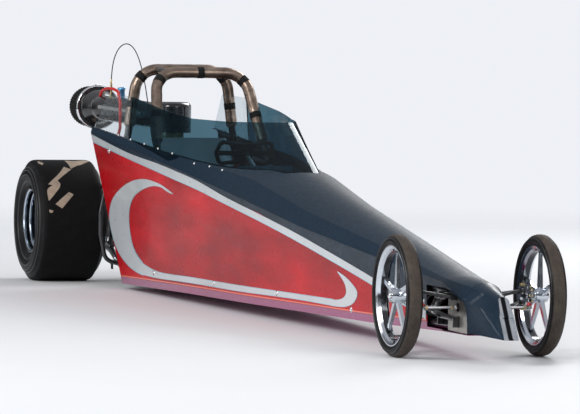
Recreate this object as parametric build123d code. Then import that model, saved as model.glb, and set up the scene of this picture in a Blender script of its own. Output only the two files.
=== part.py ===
from build123d import *
import os
from collections import namedtuple
from math import cos, radians, sin, tan

# A rear-engined drag racing car: long tapering body over a tube frame, suspended front end with
# thin tall wheels, wide slick rear tyres on a solid axle, and an open V8 behind the driver.
# +X points to the nose, +Y to the car's left and +Z up. The origin is on the ground, under the
# middle of the car. Lengths along the car are given as "aft": millimetres behind the front axle.

# Wheels and stance
WHEELBASE = 6000
NOSE_OVERHANG = 622
FRONT_TRACK = 700
FRONT_TYRE_RADIUS = 285
FRONT_TYRE_WIDTH = 78
FRONT_RIM_RADIUS = 235
FRONT_RIM_WIDTH = 64
REAR_TRACK = 925
REAR_TYRE_RADIUS = 348
REAR_TYRE_WIDTH = 410
REAR_RIM_RADIUS = 187
REAR_RIM_WIDTH = 352
FRONT_SPOKES = 5
REAR_SPOKES = 5
FRONT_WELL_RADIUS = 214
REAR_WELL_RADIUS = 168
FRONT_LIP = 6
REAR_LIP = 8
RIM_WALL = 5

FRONT_AXLE_X = (WHEELBASE + REAR_TYRE_RADIUS - NOSE_OVERHANG) / 2
REAR_AXLE_X = FRONT_AXLE_X - WHEELBASE
# Stations along the car are laid out on this wheelbase. A longer or shorter car takes up the
# difference between these two stations, and all else keeps its size.
LAYOUT_WHEELBASE = 6000
STRETCH_FROM = 70
STRETCH_TO = 2850
SIDES = (("right", -1), ("left", 1))

# Body panels
SKIN = 3
SEAM = 1
ROCKER_HEIGHT = 38
BARE_FLOOR = 8
PANEL_JOINT_AFT = 2850
GLASS = 4

# Frame
RAIL_RADIUS = 19
BRACE_RADIUS = 12.5
CAGE_RADIUS = 20.5
PADDING_RADIUS = 31

# Running clearances
SPIN_GAP = 6
PIVOT_GAP = 0.05

# A body section is a plane across the car. aft is where it meets the ground and lean is how far
# it moves aft for each millimetre of height. z is a height and w a half-width.
Section = namedtuple("Section", "aft lean floor_z floor_w shoulder_z shoulder_w edge_z edge_w crown_z")
PLATE_THICKNESS = 12
PLATE_RIM = 7
NOSE_LEAN = 0.727
NOSE_LOW_Z = 118
NOSE_FRONT_AFT = PLATE_THICKNESS - NOSE_OVERHANG - NOSE_LEAN * NOSE_LOW_Z
NOSE_SECTIONS = (
    Section(NOSE_FRONT_AFT, NOSE_LEAN, NOSE_LOW_Z, 33, 225, 33, 288, 25, 308),
    Section(-230, 0, 126, 82, 270, 96, 336, 66, 359),
    Section(70, 0, 114, 104, 347, 108, 360, 88, 372),
)
BODY_SECTIONS = (
    Section(70, 0, 114, 104, 347, 108, 360, 88, 372),
    Section(1040, 0, 90, 148, 424, 167, 478, 136, 520),
    Section(2000, 0, 78, 195, 512, 230, 585, 188, 655),
    Section(2850, 0, 66, 238, 612, 287, 712, 228, 780),
    Section(3900, 0, 54, 276, 724, 346, 790, 326, 830),
    Section(5163, 0.545, 30, 300, 868, 378, 893, 368, 905),
)
FLOOR_FRONT_AFT = -235

# Suspension opening, cut through both sides of the body around the front axle, as (aft, z) of its top
OPENING_TOP = ((271, 320), (20, 318), (-235, 262))
OPENING_RADIUS = 70

# Windscreen: plan outline at two heights, with the aft places and half-widths of its corners
Outline = namedtuple("Outline", "z tip_aft corner_aft corner_w side_aft side_w rear_w")
SCREEN_BASE = Outline(765, 2690, 2745, 95, 4100, 343, 367)
SCREEN_TOP = Outline(1001, 3120, 3165, 80, 4250, 329, 350)
SCREEN_BULGE = 46
SCREEN_LEDGE = 14
SCREEN_JOINT_AFT = 4905
# aft and height of the screen's top edge, and of its rear edge
SCREEN_TOP_EDGE = ((2600, 1010), (3450, 992), (3850, 997), (4885, 1086), (5421, 1094))
SCREEN_REAR_EDGE = ((5421, 1094), (5640, 894))

# Frame: rails as (aft, half-width, height)
LOWER_RAIL = (
    (-180, 44, 150),
    (70, 66, 144),
    (2850, 208, 104),
    (4900, 258, 76),
    (5560, 215, 118),
    (5900, 176, 176),
    (6090, 176, 205),
)
UPPER_RAIL = (
    (-180, 44, 270),
    (70, 62, 292),
    (1040, 130, 384),
    (2850, 242, 572),
    (4390, 318, 728),
    (5080, 318, 775),
    (5520, 300, 742),
    (5900, 176, 545),
    (6090, 176, 458),
)
RAIL_BEND = 120
BAYS_AFT = (-180, 70, 560, 1130, 1700, 2270, 2850, 3400, 3900, 4390, 4900)
REAR_POST_AFT = 5900
# Bowed tube behind the body on each side, as (half-width, height) between the rails
BOW_AFT = 5560
BOW = ((302, 142), (333, 290), (333, 410), (294, 600))
BOW_BEND = 60
OPEN_TOP_AFT = 2900
DASH_AFT = 3400

# Tie-down tabs under the rear of the frame
TAB_AFT = 5605
TAB_Y = 250
TAB_THICKNESS = 5
TAB_BORE_RADIUS = 6.5
TAB_BORE_Z = 101

# Front suspension and steering
KINGPIN_INSET = 88
KINGPIN_Y = FRONT_TRACK / 2 - KINGPIN_INSET
KINGPIN_RADIUS = 9
UPRIGHT_OFFSET = 22
UPRIGHT_THICKNESS = 9
KINGPIN_EYE_RADIUS = 16
PIVOT_Y = 104
PIVOT_BOLT_RADIUS = 5
# Arms: height at the knuckle, height at the frame, half the spread of the legs
Arm = namedtuple("Arm", "outer_z inner_z spread")
UPPER_ARM = Arm(306, 281, 60)
LOWER_ARM = Arm(252, 182, 95)
SLEEVE_OVERHANG = 14
BRACKET_WIDTH = 6
STEER_ARM_LENGTH = 100
RACK_Z = 236
RACK_RADIUS = 8
RACK_HOUSING_RADIUS = 16
RACK_HOUSING_HALF = 50
TIE_ROD_BALL_Y = 95
INNER_PANEL_Y = 84
# Spring unit: half-width and height of its upper bolt, and half-width of its foot on the lower arm
COIL_TOP = (138, 288)
COIL_FOOT_Y = 168
COIL_EYE_RADIUS = 12
COIL_EYE_HALF = 12
COIL_PIN_RADIUS = 5
COIL_EAR = 5

# Cage: hoops as points from the right foot over the top to the left foot
FRONT_HOOP = ((4390, 318, 728), (4690, 252, 1230))
REAR_HOOP = ((5080, 318, 775), (5070, 256, 1238))
HOOP_BEND = 130
CAGE_BARS_Y = (-150, 0, 150)
CAGE_BAR_RADIUS = 16
PADDING_START_Z = (850, 920)

# Engine, behind the driver
ENGINE_FRONT_AFT = 5010
BLOCK_LENGTH = 520
CRANK_Z = 350
BANK_ANGLE = 45
FIREWALL_AFT = 4962
CARB_AFT = 5270
CARB_BASE_Z = CRANK_Z + 400
HAT_Z = 1005
HAT_RADIUS = 108
HAT_RISE = 46
HAT_EDGE = 26
DUCT_DROP = 30
DUCT_RADIUS = 72
FILTER_RADIUS = 118
FILTER_FRONT_AFT = 5880
FILTER_LENGTH = 215
FILTER_Y = -280

HEADER_W = 258
HEADER_Z = 262
HEADER_FLANGE = 8
COLLECTOR_AFT = 5340
COLLECTOR_W = 262
COLLECTOR_RADIUS = 38
COLLECTOR_LENGTH = 90
PIPE_WALL = 3

# Rear axle
SPOOL_RADIUS = 20
AXLE_TUBE_RADIUS = 38
AXLE_CASE_RADIUS = 118
AXLE_TUBE_Y = 188
REAR_DISC_RADIUS = 140
SPOOL_FLANGE_INSET = 62

# Front wheels and steering
SPINDLE_RADIUS = 12
HUB_FLANGE_RADIUS = 46
STUD_RADIUS = 4
STUD_PLAY = 4
HUB_FLANGE_INSET = 48
ARM_LEG_RADIUS = 8
ARM_LEG_INSET = 12
SPRING_RADIUS = 25
SPRING_WIRE = 5

# Cockpit
DASH_HALF = 170
DASH_HEIGHT = 120
# The steering wheel stands behind the dash, its hub above the dash bar
WHEEL_REACH = 380
WHEEL_RISE = 187
COLUMN_TILT = 20
COLUMN_LENGTH = 420
# The steering shaft's lower bend is ahead of the dash
SHAFT_BEND_REACH = 420
SHAFT_BEND_Z = 470
SEAT_HALF = 195
SEAT_WALL = 10

# Throttle cable: from the duct's fitting up, over and down to the firewall
CABLE_RADIUS = 3
CABLE_ROUTE = (
    (5650, -258, 1150),
    (5646, -257, 1215),
    (5616, -253, 1288),
    (5552, -246, 1344),
    (5470, -237, 1374),
    (5384, -227, 1377),
    (5302, -217, 1352),
    (5236, -207, 1298),
    (5190, -197, 1224),
    (5160, -187, 1142),
    (5140, -178, 1056),
    (5124, -170, 970),
    (5106, -164, 888),
    (5078, -158, 812),
    (5030, -153, 758),
    (4976, -150, 730),
)


def at(aft):
    """X of a station given by its distance behind the front axle."""
    share = min(max((aft - STRETCH_FROM) / (STRETCH_TO - STRETCH_FROM), 0), 1)
    return FRONT_AXLE_X - aft - share * (WHEELBASE - LAYOUT_WHEELBASE)


def save(name, *solids):
    shape = solids[0] if len(solids) == 1 else Compound(children=list(solids))
    export_step(shape, f"parts/{name}.step")


def fused(parts):
    """All the given solids as one."""
    whole = parts[0]
    for piece in parts[1:]:
        whole = whole + piece
    return whole


def mirrored(solid):
    """The same piece on the car's other side."""
    return mirror(solid, about=Plane.XZ)


def rod(start, end, radius, bore=0):
    """Round bar from one point to another, or a tube where it has a bore."""
    a, b = Vector(*start), Vector(*end)
    profile = Circle(radius) - Circle(bore) if bore else Circle(radius)
    return extrude(Plane(origin=a, z_dir=b - a) * profile, (b - a).length)


def bars(points, radius):
    """Straight tubes along a row of points, with a ball where two of them meet."""
    pieces = [rod(a, b, radius) for a, b in zip(points, points[1:])]
    pieces += [Pos(*p) * Sphere(radius) for p in points[1:-1]]
    return fused(pieces)


def bent_tube(points, radius, bends, bore=0):
    """Tube bent round the inner points with the given radii."""
    path = FilletPolyline(*points, radius=bends)
    profile = Circle(radius) - Circle(bore) if bore else Circle(radius)
    return sweep(Plane(origin=path @ 0, z_dir=path % 0) * profile, path=path)


def turned(points, origin=(0, 0, 0)):
    """Solid of revolution about the Y axis through origin, from (radius, y) points."""
    face = make_face(Plane.XY * Polyline(*points, close=True))
    return Pos(*origin) * revolve(face, Axis.Y)


def box_between(low, high):
    size = [b - a for a, b in zip(low, high)]
    return Pos(*low) * Box(*size, align=(Align.MIN, Align.MIN, Align.MIN))


def side_prism(points, half_width):
    """Prism across the whole car from an outline of (aft, z) points."""
    face = make_face(Polyline(*[(at(aft), 0, z) for aft, z in points], close=True))
    return extrude(face, half_width, dir=(0, 1, 0), both=True)


def along(line, aft):
    """Half-width and height at a place on a line of (aft, w, z) points."""
    for (a0, w0, z0), (a1, w1, z1) in zip(line, line[1:]):
        if aft <= a1:
            break
    share = (aft - a0) / (a1 - a0)
    return w0 + share * (w1 - w0), z0 + share * (z1 - z0)


# Body sections


def spot(s, half_width, z):
    """Point of a section, on the car's left where half_width is positive."""
    return (at(s.aft + s.lean * z), half_width, z)


def rocker(s, inset):
    """Half-width and height of the side at the top of the turned-up floor."""
    share = ROCKER_HEIGHT / (s.shoulder_z - s.floor_z)
    return s.floor_w + share * (s.shoulder_w - s.floor_w) - inset, s.floor_z + ROCKER_HEIGHT


def side_face(s, side):
    w, z = rocker(s, 0)
    corners = ((w, z + SEAM), (s.shoulder_w, s.shoulder_z - SEAM))
    outer = [spot(s, side * w, z) for w, z in corners]
    inner = [spot(s, side * (w - SKIN), z) for w, z in reversed(corners)]
    return make_face(Polyline(*outer, *inner, close=True))


def floor_face(s):
    w, z = rocker(s, 0)
    outer = [(-w, z), (-s.floor_w, s.floor_z), (s.floor_w, s.floor_z), (w, z)]
    inner_floor = s.floor_z + SKIN
    inner = [(w - SKIN, z), (s.floor_w - SKIN, inner_floor), (SKIN - s.floor_w, inner_floor), (SKIN - w, z)]
    return make_face(Polyline(*[spot(s, *p) for p in outer + inner], close=True))


def arch(s, inset, grow=0):
    """Edges over the top of a section, from the right shoulder to the left one."""
    shoulder, edge = s.shoulder_w - inset, s.edge_w - inset
    top = s.crown_z - inset
    edge_z = s.edge_z - inset / 2
    foot = s.shoulder_z - grow
    return [
        Line(spot(s, -shoulder, foot), spot(s, -edge, edge_z)),
        ThreePointArc(spot(s, -edge, edge_z), spot(s, 0, top), spot(s, edge, edge_z)),
        Line(spot(s, edge, edge_z), spot(s, shoulder, foot)),
    ]


def cowl_face(s):
    outer, inner = arch(s, 0), arch(s, SKIN)
    ends = [Line(outer[0] @ 0, inner[0] @ 0), Line(outer[2] @ 1, inner[2] @ 1)]
    return make_face(outer + inner + ends)


def closed_face(s, inset):
    """Whole outline of a section, from floor to crown."""
    top = arch(s, inset)
    floor = s.floor_w - inset
    corners = [top[2] @ 1, spot(s, floor, s.floor_z + inset), spot(s, -floor, s.floor_z + inset), top[0] @ 0]
    return make_face(top + [Polyline(*corners)])


def body_solid():
    """The body's outside from the cowl's seam to its rear end, with nothing hollowed out."""
    return loft([closed_face(s, 0) for s in BODY_SECTIONS], ruled=True)


def suspension_opening():
    """Cutter for the opening in the body's sides, rounded at its upper front corner."""
    rear_aft, front_aft = OPENING_TOP[0][0], OPENING_TOP[-1][0]
    cutter = side_prism(((rear_aft, 0), *OPENING_TOP, (front_aft, 0)), FRONT_TRACK / 2)
    upper = cutter.edges().filter_by(Axis.Y).group_by(Axis.X)[-1]
    return fillet(upper.sort_by(Axis.Z)[-1], OPENING_RADIUS)


def nose_cone():
    inside = [s._replace(aft=s.aft + shift) for s, shift in zip(NOSE_SECTIONS, (SKIN, 0, SKIN))]
    outer = loft([closed_face(s, 0) for s in NOSE_SECTIONS], ruled=True)
    inner = loft([closed_face(s, SKIN) for s in inside], ruled=True)
    return outer - inner - suspension_opening()


def nose_plate():
    """Thin plate over the nose's leaning front, with a shallow recess in its lower half."""
    back = NOSE_SECTIONS[0]
    front = back._replace(aft=back.aft - PLATE_THICKNESS)
    plate = loft([closed_face(back, 0), closed_face(front, 0)], ruled=True)
    half, low, high = back.floor_w - PLATE_RIM, back.floor_z + PLATE_RIM, back.shoulder_z - PLATE_RIM
    deep, out = front.aft + PLATE_THICKNESS / 2, front.aft - PLATE_THICKNESS
    outline = [(aft + back.lean * z, z) for aft, z in ((deep, low), (deep, high), (out, high), (out, low))]
    return plate - side_prism(outline, half)


def front_inner_panels():
    """Thin upright sheets inside the opening, cut round the tie rod and the arms' ears."""
    outline = [(40, 122), (40, 288), (-150, 288), (-232, 256), (-232, 122)]
    face = make_face(Polyline(*[(at(aft), INNER_PANEL_Y, z) for aft, z in outline], close=True))
    sheet = extrude(face, SKIN, dir=(0, 1, 0)) - rack_tube(22, 200)
    for arm, low, high in ((UPPER_ARM, -16, 20), (LOWER_ARM, -42, 15)):
        near = arm.spread + SLEEVE_OVERHANG - 4
        far = near + BRACKET_WIDTH + 10
        for end in (-1, 1):
            sheet = sheet - box_between(
                (at(0) + min(end * near, end * far), INNER_PANEL_Y - 1, arm.inner_z + low),
                (at(0) + max(end * near, end * far), INNER_PANEL_Y + SKIN + 1, arm.inner_z + high),
            )
    return [sheet, mirrored(sheet)]


def screen_outline(z, inset):
    """Plan outline of the screen at a height, from the two stated outlines."""
    share = (z - SCREEN_BASE.z) / (SCREEN_TOP.z - SCREEN_BASE.z)
    base, top = SCREEN_BASE[1:], SCREEN_TOP[1:]
    tip, corner, corner_w, side, side_w, rear_w = [a + share * (b - a) for a, b in zip(base, top)]
    mid_aft = (corner + side) / 2
    mid_w = (corner_w + side_w) / 2 + SCREEN_BULGE
    rear = SCREEN_REAR_EDGE[1][0] + 60
    rows = ((corner + inset, corner_w - inset * 0.6), (mid_aft, mid_w - inset), (side, side_w - inset))
    left = [(at(a), w, z) for a, w in rows]
    right = [(x, -y, z) for x, y, z in left]
    end = (at(rear), rear_w - inset, z)
    other_end = (at(rear), inset - rear_w, z)
    return make_face(
        [
            ThreePointArc(right[0], (at(tip + inset), 0, z), left[0]),
            ThreePointArc(*left),
            Polyline(left[2], end, other_end, right[2]),
            ThreePointArc(*right),
        ]
    )


def screen_block(low, high, inset):
    return loft([screen_outline(low, inset), screen_outline(high, inset)], ruled=True)


def cockpit_cutter():
    """Column inside the screen, which opens the cowl above the driver."""
    return screen_block(560, 1150, SCREEN_LEDGE)


def screen_shell():
    """Wrap-around screen, seated on the cowl and cut to its top and rear edges."""
    low, high = 690, 1110
    shell = screen_block(low, high, 0) - screen_block(low, high, GLASS)
    shoulders = [(s.aft + s.lean * s.shoulder_z, s.shoulder_z) for s in reversed(BODY_SECTIONS[3:])]
    outline = [*SCREEN_TOP_EDGE, SCREEN_REAR_EDGE[1], *shoulders, (SCREEN_TOP_EDGE[0][0], 590)]
    return (shell & side_prism(outline, 450)) - body_solid()


def windscreen_and_side_windows():
    shell = screen_shell()
    joint = at(SCREEN_JOINT_AFT)
    ahead = box_between((joint + SEAM / 2, -500, 600), (joint + 3000, 500, 1200))
    behind = box_between((joint - 2000, -500, 600), (joint - SEAM / 2, 500, 1200))
    return shell & ahead, shell & behind


def between(solid, front_aft, rear_aft):
    """The part of a body panel between two stations."""
    return solid & box_between((at(rear_aft), -500, 0), (at(front_aft), 500, 1000))


def side_panel(side):
    """Flat side in three lengths, the first a strip over the suspension opening."""
    panel = loft([side_face(s, side) for s in BODY_SECTIONS], ruled=True) - suspension_opening()
    ends = (0, OPENING_TOP[0][0], PANEL_JOINT_AFT, LAYOUT_WHEELBASE)
    return [between(panel, a, b) for a, b in zip(ends, ends[1:])]


def belly_pan():
    """Floor with turned-up sides, and the bare flat sheet under the suspension opening."""
    floor = loft([floor_face(s) for s in BODY_SECTIONS], ruled=True)
    joint = OPENING_TOP[0][0]
    thick = BODY_SECTIONS[0].floor_z + BARE_FLOOR
    bare = between(floor, 0, joint) & box_between((at(joint), -500, 0), (at(0), 500, thick))
    front, back = NOSE_SECTIONS[1], NOSE_SECTIONS[2]
    corners = [(at(back.aft), s * back.floor_w) for s in (1, -1)]
    corners += [(at(FLOOR_FRONT_AFT), -s * front.floor_w) for s in (1, -1)]
    tongue = extrude(make_face(Polyline(*[(x, y, back.floor_z) for x, y in corners], close=True)), SKIN)
    ends = (joint, PANEL_JOINT_AFT, LAYOUT_WHEELBASE)
    return [bare + tongue, *[between(floor, a, b) for a, b in zip(ends, ends[1:])]]


def cowl():
    return loft([cowl_face(s) for s in BODY_SECTIONS], ruled=True) - cockpit_cutter()


def rail(line, side):
    return [(at(aft), side * w, z) for aft, w, z in line]


def rail_point(line, aft, side):
    w, z = along(line, aft)
    return (at(aft), side * w, z)


def ear_pair(arm, low):
    """Two ears on the frame and the bolt through them, for one arm."""
    reach = arm.spread + SLEEVE_OVERHANG + SEAM
    high = arm.inner_z + 11
    ears = [
        box_between(
            (at(0) + min(end * reach, end * (reach + BRACKET_WIDTH)), 56, low),
            (at(0) + max(end * reach, end * (reach + BRACKET_WIDTH)), PIVOT_Y + 11, high),
        )
        for end in (-1, 1)
    ]
    bolt_end = reach + BRACKET_WIDTH + 5
    bolt = [(at(0) + end * bolt_end, PIVOT_Y, arm.inner_z) for end in (-1, 1)]
    return fused([*ears, rod(*bolt, PIVOT_BOLT_RADIUS)])


def coil_bracket():
    """Roof out from the upper rail with two ears and a pin for the spring unit's top eye."""
    y, z = COIL_TOP
    inner = COIL_EYE_HALF + SEAM
    outer = inner + COIL_EAR
    roof = z + COIL_EYE_RADIUS + 2
    pieces = [box_between((at(0) - outer, 54, roof), (at(0) + outer, y + 14, roof + COIL_EAR))]
    for near, far in ((-outer, -inner), (inner, outer)):
        pieces.append(box_between((at(0) + near, y - 12, z - 8), (at(0) + far, y + 12, roof + 1)))
    pieces.append(rod((at(0) - outer - 4, y, z), (at(0) + outer + 4, y, z), COIL_PIN_RADIUS))
    return fused(pieces)


def rack_leg():
    x = at(-STEER_ARM_LENGTH)
    leg = box_between((x - 8, 33, 146), (x + 8, 43, RACK_Z - 8))
    return leg - rack_tube(RACK_HOUSING_RADIUS, RACK_HOUSING_HALF)


def rack_tube(radius, half):
    return rod((at(-STEER_ARM_LENGTH), -half, RACK_Z), (at(-STEER_ARM_LENGTH), half, RACK_Z), radius)


def tie_down_tab():
    """Stub tube out from the lower rail, with a drilled tab hanging from its end."""
    w, z = along(LOWER_RAIL, TAB_AFT)
    x = at(TAB_AFT)
    half = TAB_THICKNESS / 2
    stub = rod((x, w, z), (x, TAB_Y + 9, z), BRACE_RADIUS)
    tab = box_between((x - 17, TAB_Y - half, TAB_BORE_Z - 14), (x + 17, TAB_Y + half, z))
    bore = rod((x, TAB_Y - 10, TAB_BORE_Z), (x, TAB_Y + 10, TAB_BORE_Z), TAB_BORE_RADIUS)
    return stub + tab - bore


def side_braces():
    """Uprights, diagonals, the bowed tube and the brackets of the frame's left side."""
    pieces = []
    for n, aft in enumerate(BAYS_AFT):
        heads = (aft,) if n < 2 else (aft, BAYS_AFT[n - 1])
        foot = rail_point(LOWER_RAIL, aft, 1)
        pieces += [rod(foot, rail_point(UPPER_RAIL, head, 1), BRACE_RADIUS) for head in heads]
    post = [rail_point(line, REAR_POST_AFT, 1) for line in (LOWER_RAIL, UPPER_RAIL)]
    pieces.append(rod(*post, BRACE_RADIUS))
    bow = [rail_point(LOWER_RAIL, BOW_AFT, 1), *[(at(BOW_AFT), w, z) for w, z in BOW]]
    pieces.append(bent_tube([*bow, rail_point(UPPER_RAIL, BOW_AFT, 1)], BRACE_RADIUS, BOW_BEND))
    pieces += [
        ear_pair(UPPER_ARM, UPPER_ARM.inner_z - 12),
        ear_pair(LOWER_ARM, LOWER_RAIL[1][2]),
        coil_bracket(),
        rack_leg(),
        tie_down_tab(),
    ]
    return pieces


def cross_tubes():
    lines = [(LOWER_RAIL, aft) for aft in BAYS_AFT]
    lines += [(UPPER_RAIL, aft) for aft in (*[a for a in BAYS_AFT if a < OPEN_TOP_AFT], DASH_AFT)]
    return [rod(rail_point(line, aft, -1), rail_point(line, aft, 1), BRACE_RADIUS) for line, aft in lines]


def boxed(solid):
    return (solid, solid.bounding_box())


def boxes_meet(a, b):
    rows = zip(a.min, a.max, b.min, b.max)
    return all(a_low <= b_high and b_low <= a_high for a_low, a_high, b_low, b_high in rows)


def coped(piece, placed):
    """A piece with its ends cut to what it meets, without the crumbs."""
    box = piece.bounding_box()
    near = [solid for solid, around in placed if boxes_meet(box, around)]
    if near:
        piece = piece - near
    return piece.solids().sort_by(SortBy.VOLUME)[-1]


def chassis_frame():
    """Two pairs of rails tied by cross tubes, uprights and diagonals, each coped to the ones before."""
    placed, rails = [], []
    for line in (LOWER_RAIL, UPPER_RAIL):
        tail = [rail_point(line, line[-1][0], side) for _, side in SIDES]
        placed.append(boxed(rod(*tail, RAIL_RADIUS)))
        rails += [bent_tube(rail(line, side), RAIL_RADIUS, RAIL_BEND) for _, side in SIDES]
    side = side_braces()
    for piece in (*rails, *cross_tubes(), *side, *[mirrored(piece) for piece in side]):
        placed.append(boxed(coped(piece, placed)))
    return [solid for solid, _ in placed]


def hoop_points(hoop):
    (foot_aft, foot_w, foot_z), (top_aft, top_w, top_z) = hoop
    return [
        (at(foot_aft), -foot_w, foot_z),
        (at(top_aft), -top_w, top_z),
        (at(top_aft), top_w, top_z),
        (at(foot_aft), foot_w, foot_z),
    ]


def trimmed_hoop(hoop, start_z):
    """Hoop points with both feet moved up to a height."""
    points = hoop_points(hoop)
    (x0, y0, z0), (x1, y1, z1) = points[0], points[1]
    share = (start_z - z0) / (z1 - z0)
    foot = (x0 + share * (x1 - x0), y0 + share * (y1 - y0), start_z)
    return [foot, points[1], points[2], (foot[0], -foot[1], foot[2])]


def roll_cage(frame):
    """Two hoops with bars over the driver, the hoops' feet coped to the upper rails."""
    pieces = [bent_tube(hoop_points(hoop), CAGE_RADIUS, HOOP_BEND) for hoop in (FRONT_HOOP, REAR_HOOP)]
    for y in CAGE_BARS_Y:
        front, back = FRONT_HOOP[1], REAR_HOOP[1]
        pieces.append(rod((at(front[0]), y, front[2]), (at(back[0]), y, back[2]), CAGE_BAR_RADIUS))
    return coped(fused(pieces), [boxed(solid) for solid in frame])


def cage_padding():
    sleeves = []
    for hoop, start_z in zip((FRONT_HOOP, REAR_HOOP), PADDING_START_Z):
        points = trimmed_hoop(hoop, start_z)
        sleeves.append(bent_tube(points, PADDING_RADIUS, HOOP_BEND, CAGE_RADIUS))
    for y in CAGE_BARS_Y:
        front, back = at(FRONT_HOOP[1][0]), at(REAR_HOOP[1][0])
        hole = rod((front, y, FRONT_HOOP[1][2]), (back, y, REAR_HOOP[1][2]), CAGE_BAR_RADIUS + SEAM)
        sleeves = [sleeve - hole for sleeve in sleeves]
    return sleeves


def firewall():
    lower_w, upper_w, low, high = 215, 285, 90, 752
    x = at(FIREWALL_AFT)
    points = [(x, -lower_w, low), (x, lower_w, low), (x, upper_w, high), (x, -upper_w, high)]
    return extrude(make_face(Polyline(*points, close=True)), SKIN, dir=(-1, 0, 0))


def engine_block():
    """V block with its bank faces at right angles, a deep sump and the front pulley."""
    front, back = at(ENGINE_FRONT_AFT), at(ENGINE_FRONT_AFT + BLOCK_LENGTH)
    deck, width = 240, 75
    dx, dz = sin(radians(BANK_ANGLE)), cos(radians(BANK_ANGLE))
    bank_top = [(-deck * dx + edge * dz, deck * dz + edge * dx) for edge in (-width, width)]
    outline = [(-120, -90), *bank_top, (0, 120)]
    outline += [(-y, z) for y, z in reversed(outline[:-1])]
    face = make_face(Polyline(*[(front, y, CRANK_Z + z) for y, z in outline], close=True))
    block = extrude(face, BLOCK_LENGTH, dir=(-1, 0, 0))
    sump = box_between((back + 20, -105, CRANK_Z - 225), (front - 20, 105, CRANK_Z - 90))
    pulley = rod((front, 0, CRANK_Z), (front + 36, 0, CRANK_Z), 82)
    return block + sump + pulley


def bank_box(low, high, side):
    """Box on a cylinder bank: across the bank, then out from the crank's centre."""
    back = at(ENGINE_FRONT_AFT + BLOCK_LENGTH)
    (inset, across0, out0), (length, across1, out1) = low, high
    box = box_between((back + inset, across0, out0), (back + inset + length, across1, out1))
    return Pos(0, 0, CRANK_Z) * Rot(side * BANK_ANGLE * -1, 0, 0) * box


def cylinder_heads():
    return [bank_box((12, -75, 240), (496, 75, 318), side) for _, side in SIDES]


def valve_covers():
    covers = []
    for _, side in SIDES:
        cover = bank_box((20, -60, 318), (480, 60, 392), side)
        covers.append(fillet(cover.edges().filter_by(Axis.X), 14))
    return covers


def intake_manifold():
    front, back = at(ENGINE_FRONT_AFT + 40), at(ENGINE_FRONT_AFT + BLOCK_LENGTH - 40)
    mid = (front + back) / 2
    low, high = CRANK_Z + 235, CRANK_Z + 400
    base = Pos(mid, 0, low) * Rectangle(front - back, 150)
    top = Pos(mid, 0, high) * Rectangle(170, 130)
    return loft([base, top], ruled=True)


def carburettor():
    x = at(CARB_AFT)
    body = box_between((x - 80, -62, CARB_BASE_Z), (x + 80, 62, CARB_BASE_Z + 95))
    low = CARB_BASE_Z + 25
    bowls = [box_between((x + s * 80 - 18, -50, low), (x + s * 80 + 18, 50, low + 55)) for s in (-1, 1)]
    neck = rod((x, 0, CARB_BASE_Z + 95), (x, 0, CARB_BASE_Z + 130), 66)
    return fused([body, *bowls, neck])


def intake_duct():
    """Hat over the carburettor and the duct that runs back to the filter."""
    x = at(CARB_AFT)
    low = CARB_BASE_Z + 130
    hat = rod((x, 0, low), (x, 0, HAT_Z + HAT_RISE), HAT_RADIUS)
    hat = fillet(hat.edges().group_by(Axis.Z)[-1], HAT_EDGE)
    end = at(FILTER_FRONT_AFT)
    z = HAT_Z - DUCT_DROP
    corners = [(x, 0, z), (x - 170, -80, z), (end + 150, FILTER_Y, HAT_Z), (end + 40, FILTER_Y, HAT_Z)]
    path = FilletPolyline(*corners, radius=90)
    tube = sweep(Plane(origin=path @ 0, z_dir=path % 0) * Circle(DUCT_RADIUS), path=path)
    bell = loft(
        [
            Plane((end + 110, FILTER_Y, HAT_Z), z_dir=(-1, 0, 0)) * Circle(DUCT_RADIUS),
            Plane((end + 40, FILTER_Y, HAT_Z), z_dir=(-1, 0, 0)) * Circle(FILTER_RADIUS - 14),
            Plane((end, FILTER_Y, HAT_Z), z_dir=(-1, 0, 0)) * Circle(FILTER_RADIUS - 4),
        ]
    )
    ring = rod((end + 26, FILTER_Y, HAT_Z), (end, FILTER_Y, HAT_Z), FILTER_RADIUS + 4)
    return fused([hat, tube, bell, ring])


def air_filter():
    end = at(FILTER_FRONT_AFT)
    drum = rod((end, FILTER_Y, HAT_Z), (end - FILTER_LENGTH, FILTER_Y, HAT_Z), FILTER_RADIUS)
    return fillet(drum.edges().sort_by(Axis.X)[0], 10)


def exhaust_headers(heads):
    """Four pipes a side from a flange into a collector that points back, inside the tyre."""
    sets = []
    for head, (_, side) in zip(heads, SIDES):
        edge = sorted((side * 75, side * (75 + HEADER_FLANGE)))
        pipes = [bank_box((20, edge[0], 252), (480, edge[1], 306), side)]
        for n in range(4):
            x = at(ENGINE_FRONT_AFT + 85 + n * 117)
            port = (x, side * 246, CRANK_Z + 130)
            knee = (x - 8, side * HEADER_W, CRANK_Z + 60)
            low = (x - 60, side * HEADER_W, HEADER_Z)
            pipes.append(bars([port, knee, low], 21))
        start = (at(ENGINE_FRONT_AFT + 120), side * HEADER_W, HEADER_Z)
        bend = (at(COLLECTOR_AFT), side * COLLECTOR_W, HEADER_Z - 8)
        pipes.append(bars([start, bend], 32))
        pipes.append(Pos(*bend) * Sphere(COLLECTOR_RADIUS))
        outlet = (at(COLLECTOR_AFT + COLLECTOR_LENGTH), side * COLLECTOR_W, HEADER_Z - 8)
        pipes.append(rod(bend, outlet, COLLECTOR_RADIUS))
        bore = rod(bend, outlet, COLLECTOR_RADIUS - PIPE_WALL)
        sets.append(fused(pipes) - head - bore)
    return sets


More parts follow.
